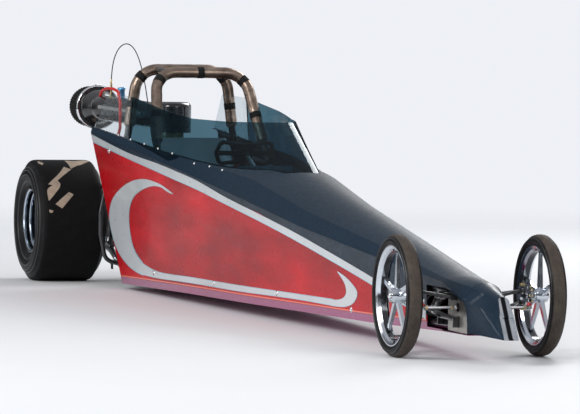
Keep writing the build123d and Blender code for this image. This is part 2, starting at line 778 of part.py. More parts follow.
def transmission():
    """Bellhousing, short gearbox case and the coupler to the axle."""
    back = at(ENGINE_FRONT_AFT + BLOCK_LENGTH)
    bell = loft(
        [
            Plane((back, 0, CRANK_Z), z_dir=(-1, 0, 0)) * Circle(180),
            Plane((back - 130, 0, CRANK_Z), z_dir=(-1, 0, 0)) * Circle(120),
        ]
    )
    case = rod((back - 130, 0, CRANK_Z), (at(5850), 0, CRANK_Z), 105)
    pan = box_between((at(5840), -95, CRANK_Z - 150), (back - 140, 95, CRANK_Z - 60))
    tail = rod((at(5850), 0, CRANK_Z), (REAR_AXLE_X + AXLE_CASE_RADIUS, 0, CRANK_Z), 52)
    return fused([bell, case, pan, tail])


def rear_axle_housing():
    """Fixed housing with the ring gear's case, axle tubes and the plates that bolt it to the frame."""
    x, z = REAR_AXLE_X, REAR_TYRE_RADIUS
    reach = AXLE_CASE_RADIUS
    case = Pos(x, 0, z) * Sphere(reach)
    case = case & box_between((x - reach, -90, z - reach), (x + reach, 90, z + reach))
    tube = rod((x, -AXLE_TUBE_Y, z), (x, AXLE_TUBE_Y, z), AXLE_TUBE_RADIUS)
    plates = [box_between((x - 62, s * 150 - 5, z - 150), (x + 62, s * 150 + 5, z + 110)) for s in (-1, 1)]
    bore = rod((x, -300, z), (x, 300, z), SPOOL_RADIUS + PIVOT_GAP)
    calipers = []
    for s in (-1, 1):
        block = box_between((x - 168, s * 205 - 30, z - 48), (x - 96, s * 205 + 30, z + 48))
        slot = box_between((x - 160, s * 205 - 9, z - 60), (x + 150, s * 205 + 9, z + 60))
        arm = box_between((x - 110, s * 168 - 8, z - 30), (x, s * 168 + 8, z + 30))
        link = box_between((x - 110, min(s * 160, s * 190), z - 30), (x - 96, max(s * 160, s * 190), z + 30))
        calipers.append(block - slot + arm + link)
    disc_gap = [
        rod((x, s * 205 - 13, z), (x, s * 205 + 13, z), REAR_DISC_RADIUS + SPIN_GAP) for s in (-1, 1)
    ]
    housing = fused([case, tube, *plates, *calipers])
    for gap in disc_gap:
        housing = housing - gap
    return housing - bore


def rear_spool():
    """Solid axle through both rear wheels, with its brake discs and wheel flanges."""
    x, z = REAR_AXLE_X, REAR_TYRE_RADIUS
    flange_y = REAR_TRACK / 2 - SPOOL_FLANGE_INSET
    pieces = [rod((x, -flange_y, z), (x, flange_y, z), SPOOL_RADIUS)]
    for s in (-1, 1):
        pieces.append(rod((x, s * 205 - 5, z), (x, s * 205 + 5, z), REAR_DISC_RADIUS))
        pieces.append(rod((x, s * 228, z), (x, s * 262, z), 48))
        pieces.append(rod((x, s * (flange_y - 14), z), (x, s * flange_y, z), 80))
    return fused(pieces)


def rim_line(outer, width, well, lip):
    """Outside of a rim as (radius, y) points: a drop well between two lips."""
    half = width / 2
    side = [
        (outer, half),
        (outer, half - lip),
        (outer - 12, half - lip - 6),
        (well + 6, half * 0.55),
        (well, half * 0.4),
    ]
    return [(r, -y) for r, y in side] + side[::-1]


def wheel_barrel(outer, width, well, wall, lip):
    """Closed section of a rim's barrel."""
    half = width / 2
    inner = [(outer - wall, half), (outer - 12 - wall, half - lip), (well - wall, half * 0.45)]
    return rim_line(outer, width, well, lip) + inner + [(r, -y) for r, y in reversed(inner)]


def wheel_space(outer, width, well, lip):
    """Room that a rim's barrel takes inside its tyre."""
    return [(0, -width / 2), *rim_line(outer, width, well, lip), (0, width / 2)]


def rear_wheel(side):
    """Deep-dished rim with a bolted centre that has one window between each pair of spokes."""
    barrel = turned(wheel_barrel(REAR_RIM_RADIUS, REAR_RIM_WIDTH, REAR_WELL_RADIUS, RIM_WALL, REAR_LIP))
    flange_y = SPOOL_FLANGE_INSET
    face_y = flange_y - 10
    centre = rod((0, face_y, 0), (0, flange_y, 0), 165)
    hub = rod((0, face_y - 34, 0), (0, face_y, 0), 42)
    windows = []
    for n in range(REAR_SPOKES):
        turn = Rot(0, 360 / REAR_SPOKES * n, 0)
        windows.append(turn * Pos(0, face_y + 5, 108) * Rot(90, 0, 0) * Cylinder(27, 30))
    wheel = fused([barrel, centre, hub])
    for window in windows:
        wheel = wheel - window
    place = Pos(REAR_AXLE_X, side * REAR_TRACK / 2, REAR_TYRE_RADIUS)
    return place * (wheel if side < 0 else mirrored(wheel))


def rear_tyre(side):
    """Wide slick: flat tread, rounded shoulders and tall bulging side walls."""
    half, bead, crown = REAR_TYRE_WIDTH / 2, REAR_RIM_RADIUS - 9, REAR_TYRE_RADIUS
    bead_y = REAR_RIM_WIDTH / 2 - 10
    profile = [
        (bead + 16, bead_y),
        (bead + 42, half - 15),
        (bead + 80, half - 1),
        (crown - 54, half - 8),
        (crown - 22, half - 30),
        (crown, half - 74),
    ]
    lines = []
    for s in (-1, 1):
        ends = ((0.5, s), (0, -s))
        lines.append(Spline(*[(r, s * y) for r, y in profile], tangents=ends))
    (foot_r, foot_y), (_, edge_y) = profile[0], profile[-1]
    lines.append(Line((crown, -edge_y), (crown, edge_y)))
    lines.append(Polyline((foot_r, -foot_y), (bead, -bead_y), (bead, bead_y), (foot_r, foot_y)))
    tyre = revolve(make_face(lines), Axis.Y)
    inner = [(crown - 14, 84 - half), (bead + 60, 14 - half), (bead + 60, half - 14), (crown - 14, half - 84)]
    rim_space = turned(wheel_space(REAR_RIM_RADIUS, REAR_RIM_WIDTH, REAR_WELL_RADIUS, REAR_LIP))
    place = Pos(REAR_AXLE_X, side * REAR_TRACK / 2, REAR_TYRE_RADIUS)
    return place * (tyre - turned(inner) - rim_space)


def front_wheel(side):
    """Thin rim with five tapered spokes round a small hub."""
    barrel = turned(wheel_barrel(FRONT_RIM_RADIUS, FRONT_RIM_WIDTH, FRONT_WELL_RADIUS, RIM_WALL, FRONT_LIP))
    bore_radius = SPINDLE_RADIUS + PIVOT_GAP
    hub = turned([(bore_radius, -34), (30, -34), (36, -20), (36, 26), (bore_radius, 26)])
    spokes = []
    for n in range(FRONT_SPOKES):
        foot = Pos(0, 0, 30) * Rectangle(29, 20)
        tip = Pos(0, 0, FRONT_WELL_RADIUS - 2) * Rectangle(18, 13)
        spokes.append(Rot(0, 360 / FRONT_SPOKES * n, 0) * loft([foot, tip], ruled=True))
    wheel = fused([barrel, hub, *spokes]) - rod((0, -60, 0), (0, 60, 0), bore_radius)
    place = Pos(at(0), side * FRONT_TRACK / 2, FRONT_TYRE_RADIUS)
    return place * (wheel if side < 0 else mirrored(wheel))


def front_hub(side):
    """Sleeve round the spindle with a round flange on the wheel's inner side."""
    y0 = FRONT_TRACK / 2 - HUB_FLANGE_INSET
    flange = rod((0, y0, 0), (0, y0 + 8, 0), HUB_FLANGE_RADIUS)
    sleeve = rod((0, y0 - 3, 0), (0, FRONT_TRACK / 2 - 26, 0), 28)
    bore = rod((0, 0, 0), (0, FRONT_TRACK, 0), SPINDLE_RADIUS + PIVOT_GAP)
    part = Pos(at(0), 0, FRONT_TYRE_RADIUS) * (flange + sleeve - bore)
    return part if side > 0 else mirrored(part)


def front_tyre(side):
    """Narrow round-treaded tyre."""
    half, bead, crown = FRONT_TYRE_WIDTH / 2, FRONT_RIM_RADIUS - 9, FRONT_TYRE_RADIUS
    points = [(bead, 24), (bead + 14, 30), (bead + 26, half)]
    points += [(crown - 16, half - 4), (crown - 4, half - 16), (crown, 10)]
    other = [(r, -y) for r, y in reversed(points)]
    rim_space = turned(wheel_space(FRONT_RIM_RADIUS, FRONT_RIM_WIDTH, FRONT_WELL_RADIUS, FRONT_LIP))
    return Pos(at(0), side * FRONT_TRACK / 2, FRONT_TYRE_RADIUS) * (turned(points + other) - rim_space)


def knuckle(side):
    """Tall upright on the kingpin, with the spindle and the steering arm."""
    x, z = at(0), FRONT_TYRE_RADIUS
    y = KINGPIN_Y
    low, high = LOWER_ARM.outer_z, UPPER_ARM.outer_z
    post = box_between((x - 16, y - 14, low + 14), (x + 16, y + 14, high - 14))
    near = y + UPRIGHT_OFFSET
    plate = box_between((x - 20, near, low - 22), (x + 20, near + UPRIGHT_THICKNESS, high + 22))
    lugs = [
        box_between((x - 14, y - 14, lug - 5), (x + 14, near + 1, lug + 5)) for lug in (low - 17, high + 17)
    ]
    pin = rod((x, y, low - 24), (x, y, high + 24), KINGPIN_RADIUS)
    spindle = rod((x, y, z), (x, FRONT_TRACK / 2 + 22, z), SPINDLE_RADIUS)
    arm = box_between((x + 10, y - 8, 262), (x + STEER_ARM_LENGTH + 10, y + 8, 276))
    stud = rod((x + STEER_ARM_LENGTH, y, RACK_Z - 10), (x + STEER_ARM_LENGTH, y, 263), STUD_RADIUS)
    part = fused([post, plate, *lugs, pin, spindle, arm, stud])
    return part if side > 0 else mirrored(part)


def coil_foot():
    """Half-width and height of the spring unit's foot, on the lower arm's legs."""
    leg_y = KINGPIN_Y - ARM_LEG_INSET
    share = (COIL_FOOT_Y - PIVOT_Y) / (leg_y - PIVOT_Y)
    return COIL_FOOT_Y, LOWER_ARM.inner_z + share * (LOWER_ARM.outer_z - LOWER_ARM.inner_z)


def wishbone(arm, foot=None):
    """Two-legged arm: an eye round the kingpin, a sleeve round its bolt and a pin for the spring unit."""
    x = at(0)
    pieces = [rod((x, KINGPIN_Y, arm.outer_z - 9), (x, KINGPIN_Y, arm.outer_z + 9), KINGPIN_EYE_RADIUS)]
    leg_y = KINGPIN_Y - ARM_LEG_INSET
    for s in (-1, 1):
        root = (x + s * arm.spread, PIVOT_Y, arm.inner_z)
        pieces.append(rod((x, leg_y, arm.outer_z), root, ARM_LEG_RADIUS))
    reach = arm.spread + SLEEVE_OVERHANG
    pieces.append(rod((x - reach, PIVOT_Y, arm.inner_z), (x + reach, PIVOT_Y, arm.inner_z), 10))
    if foot:
        y, z = foot
        half = arm.spread * (leg_y - y) / (leg_y - PIVOT_Y)
        pieces.append(rod((x - half, y, z), (x + half, y, z), COIL_PIN_RADIUS))
    ends = [(x + s * (reach + 1), PIVOT_Y, arm.inner_z) for s in (-1, 1)]
    bolt = rod(*ends, PIVOT_BOLT_RADIUS + PIVOT_GAP)
    pin = rod((x, KINGPIN_Y, arm.outer_z - 30), (x, KINGPIN_Y, arm.outer_z + 30), KINGPIN_RADIUS + PIVOT_GAP)
    return fused(pieces) - pin - bolt


def wishbones():
    arms = [wishbone(UPPER_ARM), wishbone(LOWER_ARM, coil_foot())]
    return arms + [mirrored(arm) for arm in arms]


def coil_point(share):
    """Place on the spring unit's line: 0 at its foot, 1 at its top."""
    foot, top = Vector(at(0), *coil_foot()), Vector(at(0), *COIL_TOP)
    return foot + (top - foot) * share


def coil_over_dampers():
    """Damper with an eye at each end and a seat at each end of the spring."""
    pieces = [
        rod(coil_point(0.1), coil_point(0.62), 12),
        rod(coil_point(0.5), coil_point(0.9), 6),
        rod(coil_point(0.18), coil_point(0.24), SPRING_RADIUS),
        rod(coil_point(0.74), coil_point(0.8), SPRING_RADIUS),
    ]
    holes = []
    for y, z in (coil_foot(), COIL_TOP):
        ends = ((at(COIL_EYE_HALF), y, z), (at(-COIL_EYE_HALF), y, z))
        pieces.append(rod(*ends, COIL_EYE_RADIUS))
        holes.append(rod(*ends, COIL_PIN_RADIUS + PIVOT_GAP))
    damper = fused(pieces)
    for hole in holes:
        damper = damper - hole
    return [damper, mirrored(damper)]


def coil_over_springs():
    spring = rod(coil_point(0.24), coil_point(0.74), SPRING_RADIUS - 1, SPRING_RADIUS - 1 - SPRING_WIRE)
    return [spring, mirrored(spring)]


def rack_housing():
    """Tube round the rack, with the pinion's case where the steering shaft comes in."""
    tube = rack_tube(RACK_HOUSING_RADIUS, RACK_HOUSING_HALF)
    case = Pos(at(-STEER_ARM_LENGTH) - 14, 0, RACK_Z + 6) * Box(44, 30, 34)
    return tube + case - rack_tube(RACK_RADIUS + PIVOT_GAP, 100)


def steering_rack():
    """Rack bar and both tie rods, each ending in an eye round its steering arm's stud."""
    x = at(-STEER_ARM_LENGTH)
    pieces = [rack_tube(RACK_RADIUS, TIE_ROD_BALL_Y)]
    eyes = []
    for s in (-1, 1):
        pieces.append(Pos(x, s * TIE_ROD_BALL_Y, RACK_Z) * Sphere(12))
        pieces.append(rod((x, s * TIE_ROD_BALL_Y, RACK_Z), (x, s * (KINGPIN_Y - 10), RACK_Z), 6))
        pieces.append(rod((x, s * KINGPIN_Y, RACK_Z - 8), (x, s * KINGPIN_Y, RACK_Z + 8), 14))
        ends = [(x, s * KINGPIN_Y, RACK_Z + end) for end in (-20, 20)]
        eyes.append(rod(*ends, STUD_RADIUS + STUD_PLAY))
    bar = fused(pieces)
    for eye in eyes:
        bar = bar - eye
    return bar


def column_point(distance):
    """Place on the column's axis, ahead of the steering wheel."""
    tilt = radians(COLUMN_TILT)
    hub_z = along(UPPER_RAIL, DASH_AFT)[1] + WHEEL_RISE
    return (at(DASH_AFT + WHEEL_REACH) + distance * cos(tilt), 0, hub_z - distance * sin(tilt))


def steering_wheel():
    """Butterfly wheel: two looped grips on a flat spoke and a round hub."""
    grip = bent_tube([(50, 36, 0), (66, 138, 0), (0, 160, 0), (-62, 134, 0), (-50, 36, 0)], 11, 28)
    spoke = Box(26, 290, 6)
    hub = Cylinder(30, 24)
    collar = Pos(0, 0, -34) * Cylinder(17, 48)
    plate = Box(112, 84, 6)
    wheel = fused([grip, mirror(grip, about=Plane.XZ), spoke, plate, hub, collar])
    tilt = radians(COLUMN_TILT)
    plane = Plane(origin=column_point(0), x_dir=(sin(tilt), 0, cos(tilt)), z_dir=(-cos(tilt), 0, sin(tilt)))
    return plane * wheel


def steering_column():
    """Column from the wheel's collar to a joint, then the long shaft down to the rack."""
    upper = rod(column_point(64), column_point(COLUMN_LENGTH), 13)
    joint = Pos(*column_point(COLUMN_LENGTH)) * Sphere(19)
    bend = (at(DASH_AFT - SHAFT_BEND_REACH), 0, SHAFT_BEND_Z)
    shaft = bars([column_point(COLUMN_LENGTH), bend, (at(-STEER_ARM_LENGTH) - 37, 0, RACK_Z + 8)], 9)
    return fused([upper, joint, shaft])


def dash_panel():
    """Flat panel on the dash bar, with a hole for the column and three round dials."""
    low = along(UPPER_RAIL, DASH_AFT)[1] + BRACE_RADIUS
    x, high = at(DASH_AFT), low + DASH_HEIGHT
    top = DASH_HALF - 20
    corners = [(x, -DASH_HALF, low), (x, DASH_HALF, low), (x, top, high), (x, -top, high)]
    panel = extrude(make_face(Polyline(*corners, close=True)), SKIN, dir=(1, 0, 0))
    hole = rod(column_point(0), column_point(COLUMN_LENGTH + 60), 24)
    z = high - 42
    dials = [rod((x + SKIN, y, z), (x - 12, y, z), radius) for y, radius in ((-92, 32), (0, 38), (92, 32))]
    return fused([panel, *dials]) - hole


def seat():
    """Reclined bucket: base and back in one bent sheet between two side walls."""
    outer = [(3960, 108), (4380, 100), (4530, 150), (4890, 850)]
    inner = [(4872, 862), (4510, 168), (4370, 100 + SEAT_WALL * 1.4), (3960, 108 + SEAT_WALL)]
    sheet = side_prism(outer + inner, SEAT_HALF)
    wall = [(3960, 108), (3960, 170), (4300, 250), (4560, 420), (4760, 800), (4872, 862)]
    wall += [(4890, 850), (4530, 150), (4380, 100)]
    face = make_face(Polyline(*[(at(aft), SEAT_HALF, z) for aft, z in wall], close=True))
    side = extrude(face, SEAT_WALL, dir=(0, 1, 0))
    return fused([sheet, side, mirrored(side)])


def cable_bends(points):
    """Largest bend at each inner point: 0.45 of the shorter run over the tangent of half the turn."""
    bends = []
    for a, b, c in zip(points, points[1:], points[2:]):
        run_in, run_out = Vector(*b) - Vector(*a), Vector(*c) - Vector(*b)
        half_turn = radians(run_in.get_angle(run_out)) / 2
        bends.append(0.45 * min(run_in.length, run_out.length) / tan(half_turn))
    return bends


def throttle_cable():
    points = [(at(aft), y, z) for aft, y, z in CABLE_ROUTE]
    bends = cable_bends(points)
    print("cable bends", [round(r) for r in bends])
    path = FilletPolyline(*points, radius=bends)
    print("cable length", round(path.length))
    return sweep(Plane(origin=path @ 0, z_dir=path % 0) * Circle(CABLE_RADIUS), path=path)


def throttle_cable_ends(duct, cable):
    """Turned fitting that stands on the duct, and the gland on the firewall."""
    aft, y, z = CABLE_ROUTE[0]
    stem = rod((at(aft), y, HAT_Z + 40), (at(aft), y, z), 6)
    nut = rod((at(aft), y, z - 42), (at(aft), y, z - 24), 11)
    fitting = stem + nut - duct - cable
    end_aft, end_y, end_z = CABLE_ROUTE[-1]
    gland = rod((at(FIREWALL_AFT + SKIN), end_y, end_z), (at(end_aft), end_y, end_z), 10)
    return fitting, gland - cable


def save_parts():
    os.makedirs("parts", exist_ok=True)
    save("cowl", cowl())
    for name, side in SIDES:
        save(f"side_panel_{name}", *side_panel(side))
    save("belly_pan", *belly_pan())
    save("nose_cone", nose_cone())
    save("nose_plate", nose_plate())
    save("front_inner_panels", *front_inner_panels())
    windscreen, side_windows = windscreen_and_side_windows()
    save("windscreen", *windscreen.solids())
    save("rear_side_windows", *side_windows.solids())
    frame = chassis_frame()
    save("chassis_frame", *frame)
    save("roll_cage", roll_cage(frame))
    save("cage_padding", *cage_padding())
    save("firewall", firewall())
    save("engine_block", engine_block())
    heads = cylinder_heads()
    save("cylinder_heads", *heads)
    save("valve_covers", *valve_covers())
    save("intake_manifold", intake_manifold())
    save("carburettor", carburettor())
    duct = intake_duct()
    save("intake_duct", duct)
    cable = throttle_cable()
    save("throttle_cable", cable)
    save("throttle_cable_ends", *throttle_cable_ends(duct, cable))
    save("air_filter", air_filter())
    save("exhaust_headers", *exhaust_headers(heads))
    save("transmission", transmission())
    save("rear_axle_housing", rear_axle_housing())
    save("rear_spool", rear_spool())
    save("rear_wheel_rims", rear_wheel(-1), rear_wheel(1))
    save("rear_tyres", rear_tyre(-1), rear_tyre(1))
    save("wishbones", *wishbones())
    save("coil_over_dampers", *coil_over_dampers())
    save("coil_over_springs", *coil_over_springs())
    save("rack_housing", rack_housing())
    save("steering_rack", steering_rack())
    save("steering_wheel", steering_wheel())
    save("steering_column", steering_column())
    save("dash_panel", dash_panel())
    save("seat", seat())
    for name, side in SIDES:
        save(f"knuckle_{name}", knuckle(side))
        save(f"front_wheel_{name}", front_wheel(side))
        save(f"front_hub_{name}", front_hub(side))
        save(f"front_tyre_{name}", front_tyre(side))


save_parts()
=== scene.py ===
import math
from functools import partial
from itertools import accumulate

import bpy
from mathutils import Matrix, Vector
from mathutils.bvhtree import BVHTree


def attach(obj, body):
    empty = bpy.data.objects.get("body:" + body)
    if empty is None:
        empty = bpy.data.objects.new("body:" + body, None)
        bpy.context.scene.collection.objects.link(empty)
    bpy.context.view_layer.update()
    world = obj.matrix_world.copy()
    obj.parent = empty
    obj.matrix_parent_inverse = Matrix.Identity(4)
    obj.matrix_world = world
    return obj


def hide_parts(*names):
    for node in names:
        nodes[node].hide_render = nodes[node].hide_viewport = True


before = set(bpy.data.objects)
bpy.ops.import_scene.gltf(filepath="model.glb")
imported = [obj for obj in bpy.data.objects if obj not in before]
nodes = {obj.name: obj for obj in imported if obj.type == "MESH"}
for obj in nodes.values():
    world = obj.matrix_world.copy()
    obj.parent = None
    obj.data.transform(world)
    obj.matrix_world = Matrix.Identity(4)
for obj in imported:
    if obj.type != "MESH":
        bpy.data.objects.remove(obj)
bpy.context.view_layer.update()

FRONT_AXLE_X = 2.863
REAR_AXLE_X = -3.137
FRONT_TYRE_R = 0.285
REAR_TYRE_R = 0.348
FRONT_AXLE = (FRONT_AXLE_X, FRONT_TYRE_R)
REAR_AXLE = (REAR_AXLE_X, REAR_TYRE_R)
SIDES = (-1, 1)


def at(aft):
    """Metres along X for a place given in mm behind the front axle."""
    return FRONT_AXLE_X - aft / 1000


def spot(aft, y, z):
    """Place in metres, given in mm behind the front axle, to the left and up."""
    return at(aft), y / 1000, z / 1000


def added(name, data):
    """New object, linked to the scene."""
    obj = bpy.data.objects.new(name, data)
    bpy.context.scene.collection.objects.link(obj)
    return obj


# Camera, solved from the photograph
AZIMUTH = math.radians(18.77072)
ELEVATION = math.radians(3.45344)
ROLL = math.radians(0.98271)
DISTANCE = 23.28958
FOCAL_PX = 5000
PHOTO_PX = (580, 414)
SENSOR_MM = 36
AIM_PX = (468.8721, 296.77864)
AIM = Vector((FRONT_AXLE_X, 0, 0.279))


def place_camera():
    level = math.cos(ELEVATION)
    back = Vector((math.cos(AZIMUTH) * level, -math.sin(AZIMUTH) * level, math.sin(ELEVATION)))
    right = Vector((math.sin(AZIMUTH), math.cos(AZIMUTH), 0))
    up = back.cross(right)
    right, up = right * math.cos(ROLL) + up * math.sin(ROLL), up * math.cos(ROLL) - right * math.sin(ROLL)
    across, down = (aim - size / 2 for aim, size in zip(AIM_PX, PHOTO_PX))
    ray = Vector((across / FOCAL_PX, -down / FOCAL_PX, -1)).normalized()
    turn = Vector((0, 0, -1)).rotation_difference(ray).to_matrix()
    world_to_camera = turn @ Matrix((right, up, back))
    camera_to_world = world_to_camera.transposed()
    place = AIM - camera_to_world @ (ray * DISTANCE)
    data = bpy.data.cameras.new("camera")
    data.sensor_width = SENSOR_MM
    data.lens = FOCAL_PX / PHOTO_PX[0] * SENSOR_MM
    data.clip_end = 200
    camera = added("camera", data)
    camera.matrix_world = Matrix.Translation(place) @ camera_to_world.to_4x4()
    bpy.context.scene.camera = camera


place_camera()
bpy.context.scene.view_settings.view_transform = "Standard"


# Node helpers
class Nodes:
    """Node tree of a material or world, with coordinates to hand."""

    def __init__(self, owner, space="Object"):
        owner.use_nodes = True
        self.owner = owner
        self.tree = owner.node_tree
        self.bsdf = self.tree.nodes.get("Principled BSDF")
        self.coord = self.tree.nodes.new("ShaderNodeTexCoord").outputs[space]

    def link(self, value, socket):
        if isinstance(value, (int, float)):
            socket.default_value = value
        elif isinstance(value, tuple):
            socket.default_value = (*value, 1) if len(socket.default_value) == 4 and len(value) == 3 else value
        else:
            self.tree.links.new(value, socket)

    def math(self, operation, a, b=0.0, c=None):
        node = self.tree.nodes.new("ShaderNodeMath")
        node.operation = operation
        self.link(a, node.inputs[0])
        self.link(b, node.inputs[1])
        if c is not None:
            self.link(c, node.inputs[2])
        return node.outputs[0]

    def hypot(self, a, b):
        return self.math("SQRT", self.math("ADD", self.math("MULTIPLY", a, a), self.math("MULTIPLY", b, b)))

    def split(self):
        node = self.tree.nodes.new("ShaderNodeSeparateXYZ")
        self.link(self.coord, node.inputs[0])
        return node.outputs

    def stretched(self, *scale):
        """The object's own coordinates, scaled along each axis."""
        node = self.tree.nodes.new("ShaderNodeMapping")
        self.link(self.coord, node.inputs["Vector"])
        node.inputs["Scale"].default_value = scale
        return node.outputs[0]

    def noise(self, scale, detail=3.0, vector=None, roughness=0.55):
        node = self.tree.nodes.new("ShaderNodeTexNoise")
        self.link(vector or self.coord, node.inputs["Vector"])
        node.inputs["Scale"].default_value = scale
        node.inputs["Detail"].default_value = detail
        node.inputs["Roughness"].default_value = roughness
        return node.outputs["Fac"]

    def ranged(self, value, low, high, to_low=0.0, to_high=1.0, smooth=False):
        node = self.tree.nodes.new("ShaderNodeMapRange")
        if smooth:
            node.interpolation_type = "SMOOTHSTEP"
        for socket, item in zip(node.inputs, (value, low, high, to_low, to_high)):
            self.link(item, socket)
        return node.outputs[0]

    def mix(self, factor, a, b):
        node = self.tree.nodes.new("ShaderNodeMix")
        node.data_type = "RGBA"
        self.link(factor, node.inputs["Factor"])
        self.link(a, node.inputs[6])
        self.link(b, node.inputs[7])
        return node.outputs[2]

    def bump(self, height, strength, distance, before=None):
        node = self.tree.nodes.new("ShaderNodeBump")
        node.inputs["Strength"].default_value = strength
        node.inputs["Distance"].default_value = distance
        self.link(height, node.inputs["Height"])
        if before is not None:
            self.link(before, node.inputs["Normal"])
        self.tree.links.new(node.outputs[0], self.bsdf.inputs["Normal"])
        return node.outputs[0]

    def blend(self, scale, a, b, detail=3.0, low=0.3, high=0.7):
        """Two colours mixed by a noise."""
        return self.mix(self.ranged(self.noise(scale, detail), low, high), a, b)

    def uneven(self, scale, low, high, detail=4):
        """Value that a noise moves between two ends."""
        return self.ranged(self.noise(scale, detail), 0.3, 0.7, low, high)

    def flaked(self, base, share, bright):
        """Base colour with fine metallic flake over it."""
        return self.mix(self.math("MULTIPLY", self.ranged(self.noise(700, 2), 0.4, 0.7), share), base, bright)

    def orange_peel(self, before=None):
        self.bump(self.noise(260, 2), 0.05, 0.0006, before)

    def set(self, **values):
        for key, value in values.items():
            self.link(value, self.bsdf.inputs[key.replace("_", " ")])


def new_material(name):
    return Nodes(bpy.data.materials.new(name))


def shade(color, share):
    return tuple(min(1, c * share) for c in color)


def plain(name, color, rough, metal=0.0, *, tone, relief, tone_scale=9, grain=0.06, relief_scale=300):
    """Material with soft changes of tone, uneven roughness and a fine relief."""
    n = new_material(name)
    n.set(Base_Color=n.blend(tone_scale, shade(color, 1 - tone), shade(color, 1 + tone)), Metallic=metal)
    n.set(Roughness=n.uneven(180, max(0.02, rough - grain), rough + grain))
    n.bump(n.noise(relief_scale, 5), relief, 0.001)
    return n.owner


def paint(name, color, flake=0.0, rough=0.32, metal=0.0, coat=1.0, specular=0.5):
    """Clear-coated paint with a faint orange peel, and flake where it is metallic."""
    n = new_material(name)
    base = n.blend(2.2, shade(color, 0.93), shade(color, 1.05), low=0.35, high=0.65)
    if flake:
        base = n.flaked(base, flake, shade(color, 1.9))
    n.set(Base_Color=base, Metallic=metal, Coat_Weight=coat, Coat_Roughness=0.03, Specular_IOR_Level=specular)
    n.set(Roughness=n.uneven(40, rough - 0.05, rough + 0.05, 3))
    n.orange_peel()
    return n.owner


RED = (0.42, 0.003, 0.008)
NAVY = (0.004, 0.017, 0.034)
SILVER = (0.62, 0.66, 0.68)


def side_paint():
    """Red below the upper stripe and dark above it, with the shallow creases of a thin panel."""
    n = new_material("side_panel_paint")
    x, _, z = n.split()
    aft = n.math("SUBTRACT", FRONT_AXLE_X, x)
    front_line = n.math("MULTIPLY_ADD", aft, 0.161, 0.131)
    rear_line = n.math("MULTIPLY_ADD", aft, 0.0945, 0.304)
    above = n.math("GREATER_THAN", z, n.math("MINIMUM", front_line, rear_line))
    mottle = n.noise(2.1, 3, n.stretched(0.5, 1, 1.6))
    red = n.mix(n.ranged(mottle, 0.35, 0.68), shade(RED, 0.62), shade(RED, 1.35))
    red = n.flaked(red, 0.06, shade(RED, 2.0))
    dark = n.blend(2.2, shade(NAVY, 0.8), shade(NAVY, 1.2), low=0.35, high=0.65)
    n.set(Base_Color=n.mix(above, red, dark), Coat_Weight=0.08, Coat_Roughness=0.05, Metallic=0.1)
    n.set(Specular_IOR_Level=0.16, Roughness=n.uneven(40, 0.26, 0.36, 3))
    creases = n.noise(3.4, 2, n.stretched(0.8, 1, 2.4))
    n.orange_peel(n.bump(creases, 0.35, 0.012))
    return n.owner


def round_distance(n, x0, z0):
    """Distance from an axle, and the place along it."""
    x, y, z = n.split()
    return n.hypot(n.math("SUBTRACT", x, x0), n.math("SUBTRACT", z, z0)), y


def tyre(name, x0, radius, tread_depth, tread_color, dust):
    """Rubber with moulding rings on the side walls and a duller, dusty tread."""
    n = new_material(name)
    r, _ = round_distance(n, x0, radius)
    wall_color = n.blend(14, (0.004, 0.004, 0.0045), (0.010, 0.010, 0.011), 4, 0.35, 0.7)
    crown = n.blend(22, shade(tread_color, 0.6), tread_color, 5, 0.3, 0.75)
    tread = n.ranged(r, radius - tread_depth, radius - tread_depth * 0.6)
    speck = n.ranged(n.noise(160, 6, roughness=0.7), 0.58, 0.66)
    base = n.mix(n.math("MULTIPLY", speck, dust), n.mix(tread, wall_color, crown), (0.20, 0.17, 0.14))
    grain = n.uneven(90, 0.0, 0.14)
    n.set(Base_Color=base, Roughness=n.math("ADD", grain, n.ranged(tread, 0, 1, 0.36, 0.62)))
    n.set(Specular_IOR_Level=0.13)
    rings = n.math("SINE", n.math("MULTIPLY", r, 900))
    wall = n.math("SUBTRACT", 1, tread)
    fine = n.bump(n.math("MULTIPLY", n.math("MAXIMUM", rings, 0.6), wall), 0.25, 0.0012)
    n.bump(n.noise(350, 4), 0.3, 0.0006, fine)
    return n.owner


def turned_metal(name, color, x0, radius, rough, lines, dark_reflection_pitch=0.0, painted_groove_shade=None):
    """Polished metal with faint turning lines round the axle. Dark rings spaced along the axle can be added as a
    painted reflection of dark ground, and one dark ring round the barrel as painted shade in its recess.
    """
    n = new_material(name)
    r, y = round_distance(n, x0, radius)
    line = n.math("MULTIPLY_ADD", n.math("SINE", n.math("MULTIPLY", r, 2600)), 0.5, 0.5)
    smears = n.ranged(n.noise(11, 4), 0.35, 0.7, 0, 0.07)
    n.set(Roughness=n.math("ADD", n.math("MULTIPLY_ADD", line, lines, rough), smears), Metallic=1.0)
    base = n.blend(25, shade(color, 0.92), color)
    # Dark rings spaced along the axle: a painted reflection of the dark ground between the rim's steps
    if dark_reflection_pitch:
        wave = n.math("SINE", n.math("MULTIPLY", n.math("ABSOLUTE", y), 2 * math.pi / dark_reflection_pitch))
        base = n.mix(n.ranged(wave, -0.1, 0.4), shade(color, 0.1), base)
    # One dark ring round the barrel: painted shade in its recess
    if painted_groove_shade:
        middle, half, inner = painted_groove_shade
        off = n.math("ABSOLUTE", n.math("SUBTRACT", n.math("ABSOLUTE", y), middle))
        barrel_shade = n.math("MULTIPLY", n.ranged(off, half, half + 0.003, 1, 0), n.ranged(r, inner, inner + 0.004))
        base = n.mix(barrel_shade, base, shade(color, 0.12))
    n.set(Base_Color=base)
    n.bump(line, 0.04, 0.0004)
    return n.owner


def glass(name, tint):
    """Clear sheet with a faint haze and a clear coat."""
    n = new_material(name)
    n.set(Base_Color=n.blend(3, shade(tint, 0.96), tint))
    n.set(Roughness=n.ranged(n.noise(30, 5), 0.45, 0.8, 0.0, 0.05), IOR=1.06, Transmission_Weight=1.0)
    n.set(Coat_Weight=0.25, Coat_Roughness=0.04, Coat_IOR=1.5)
    n.bump(n.noise(3, 2), 0.05, 0.002)
    return n.owner


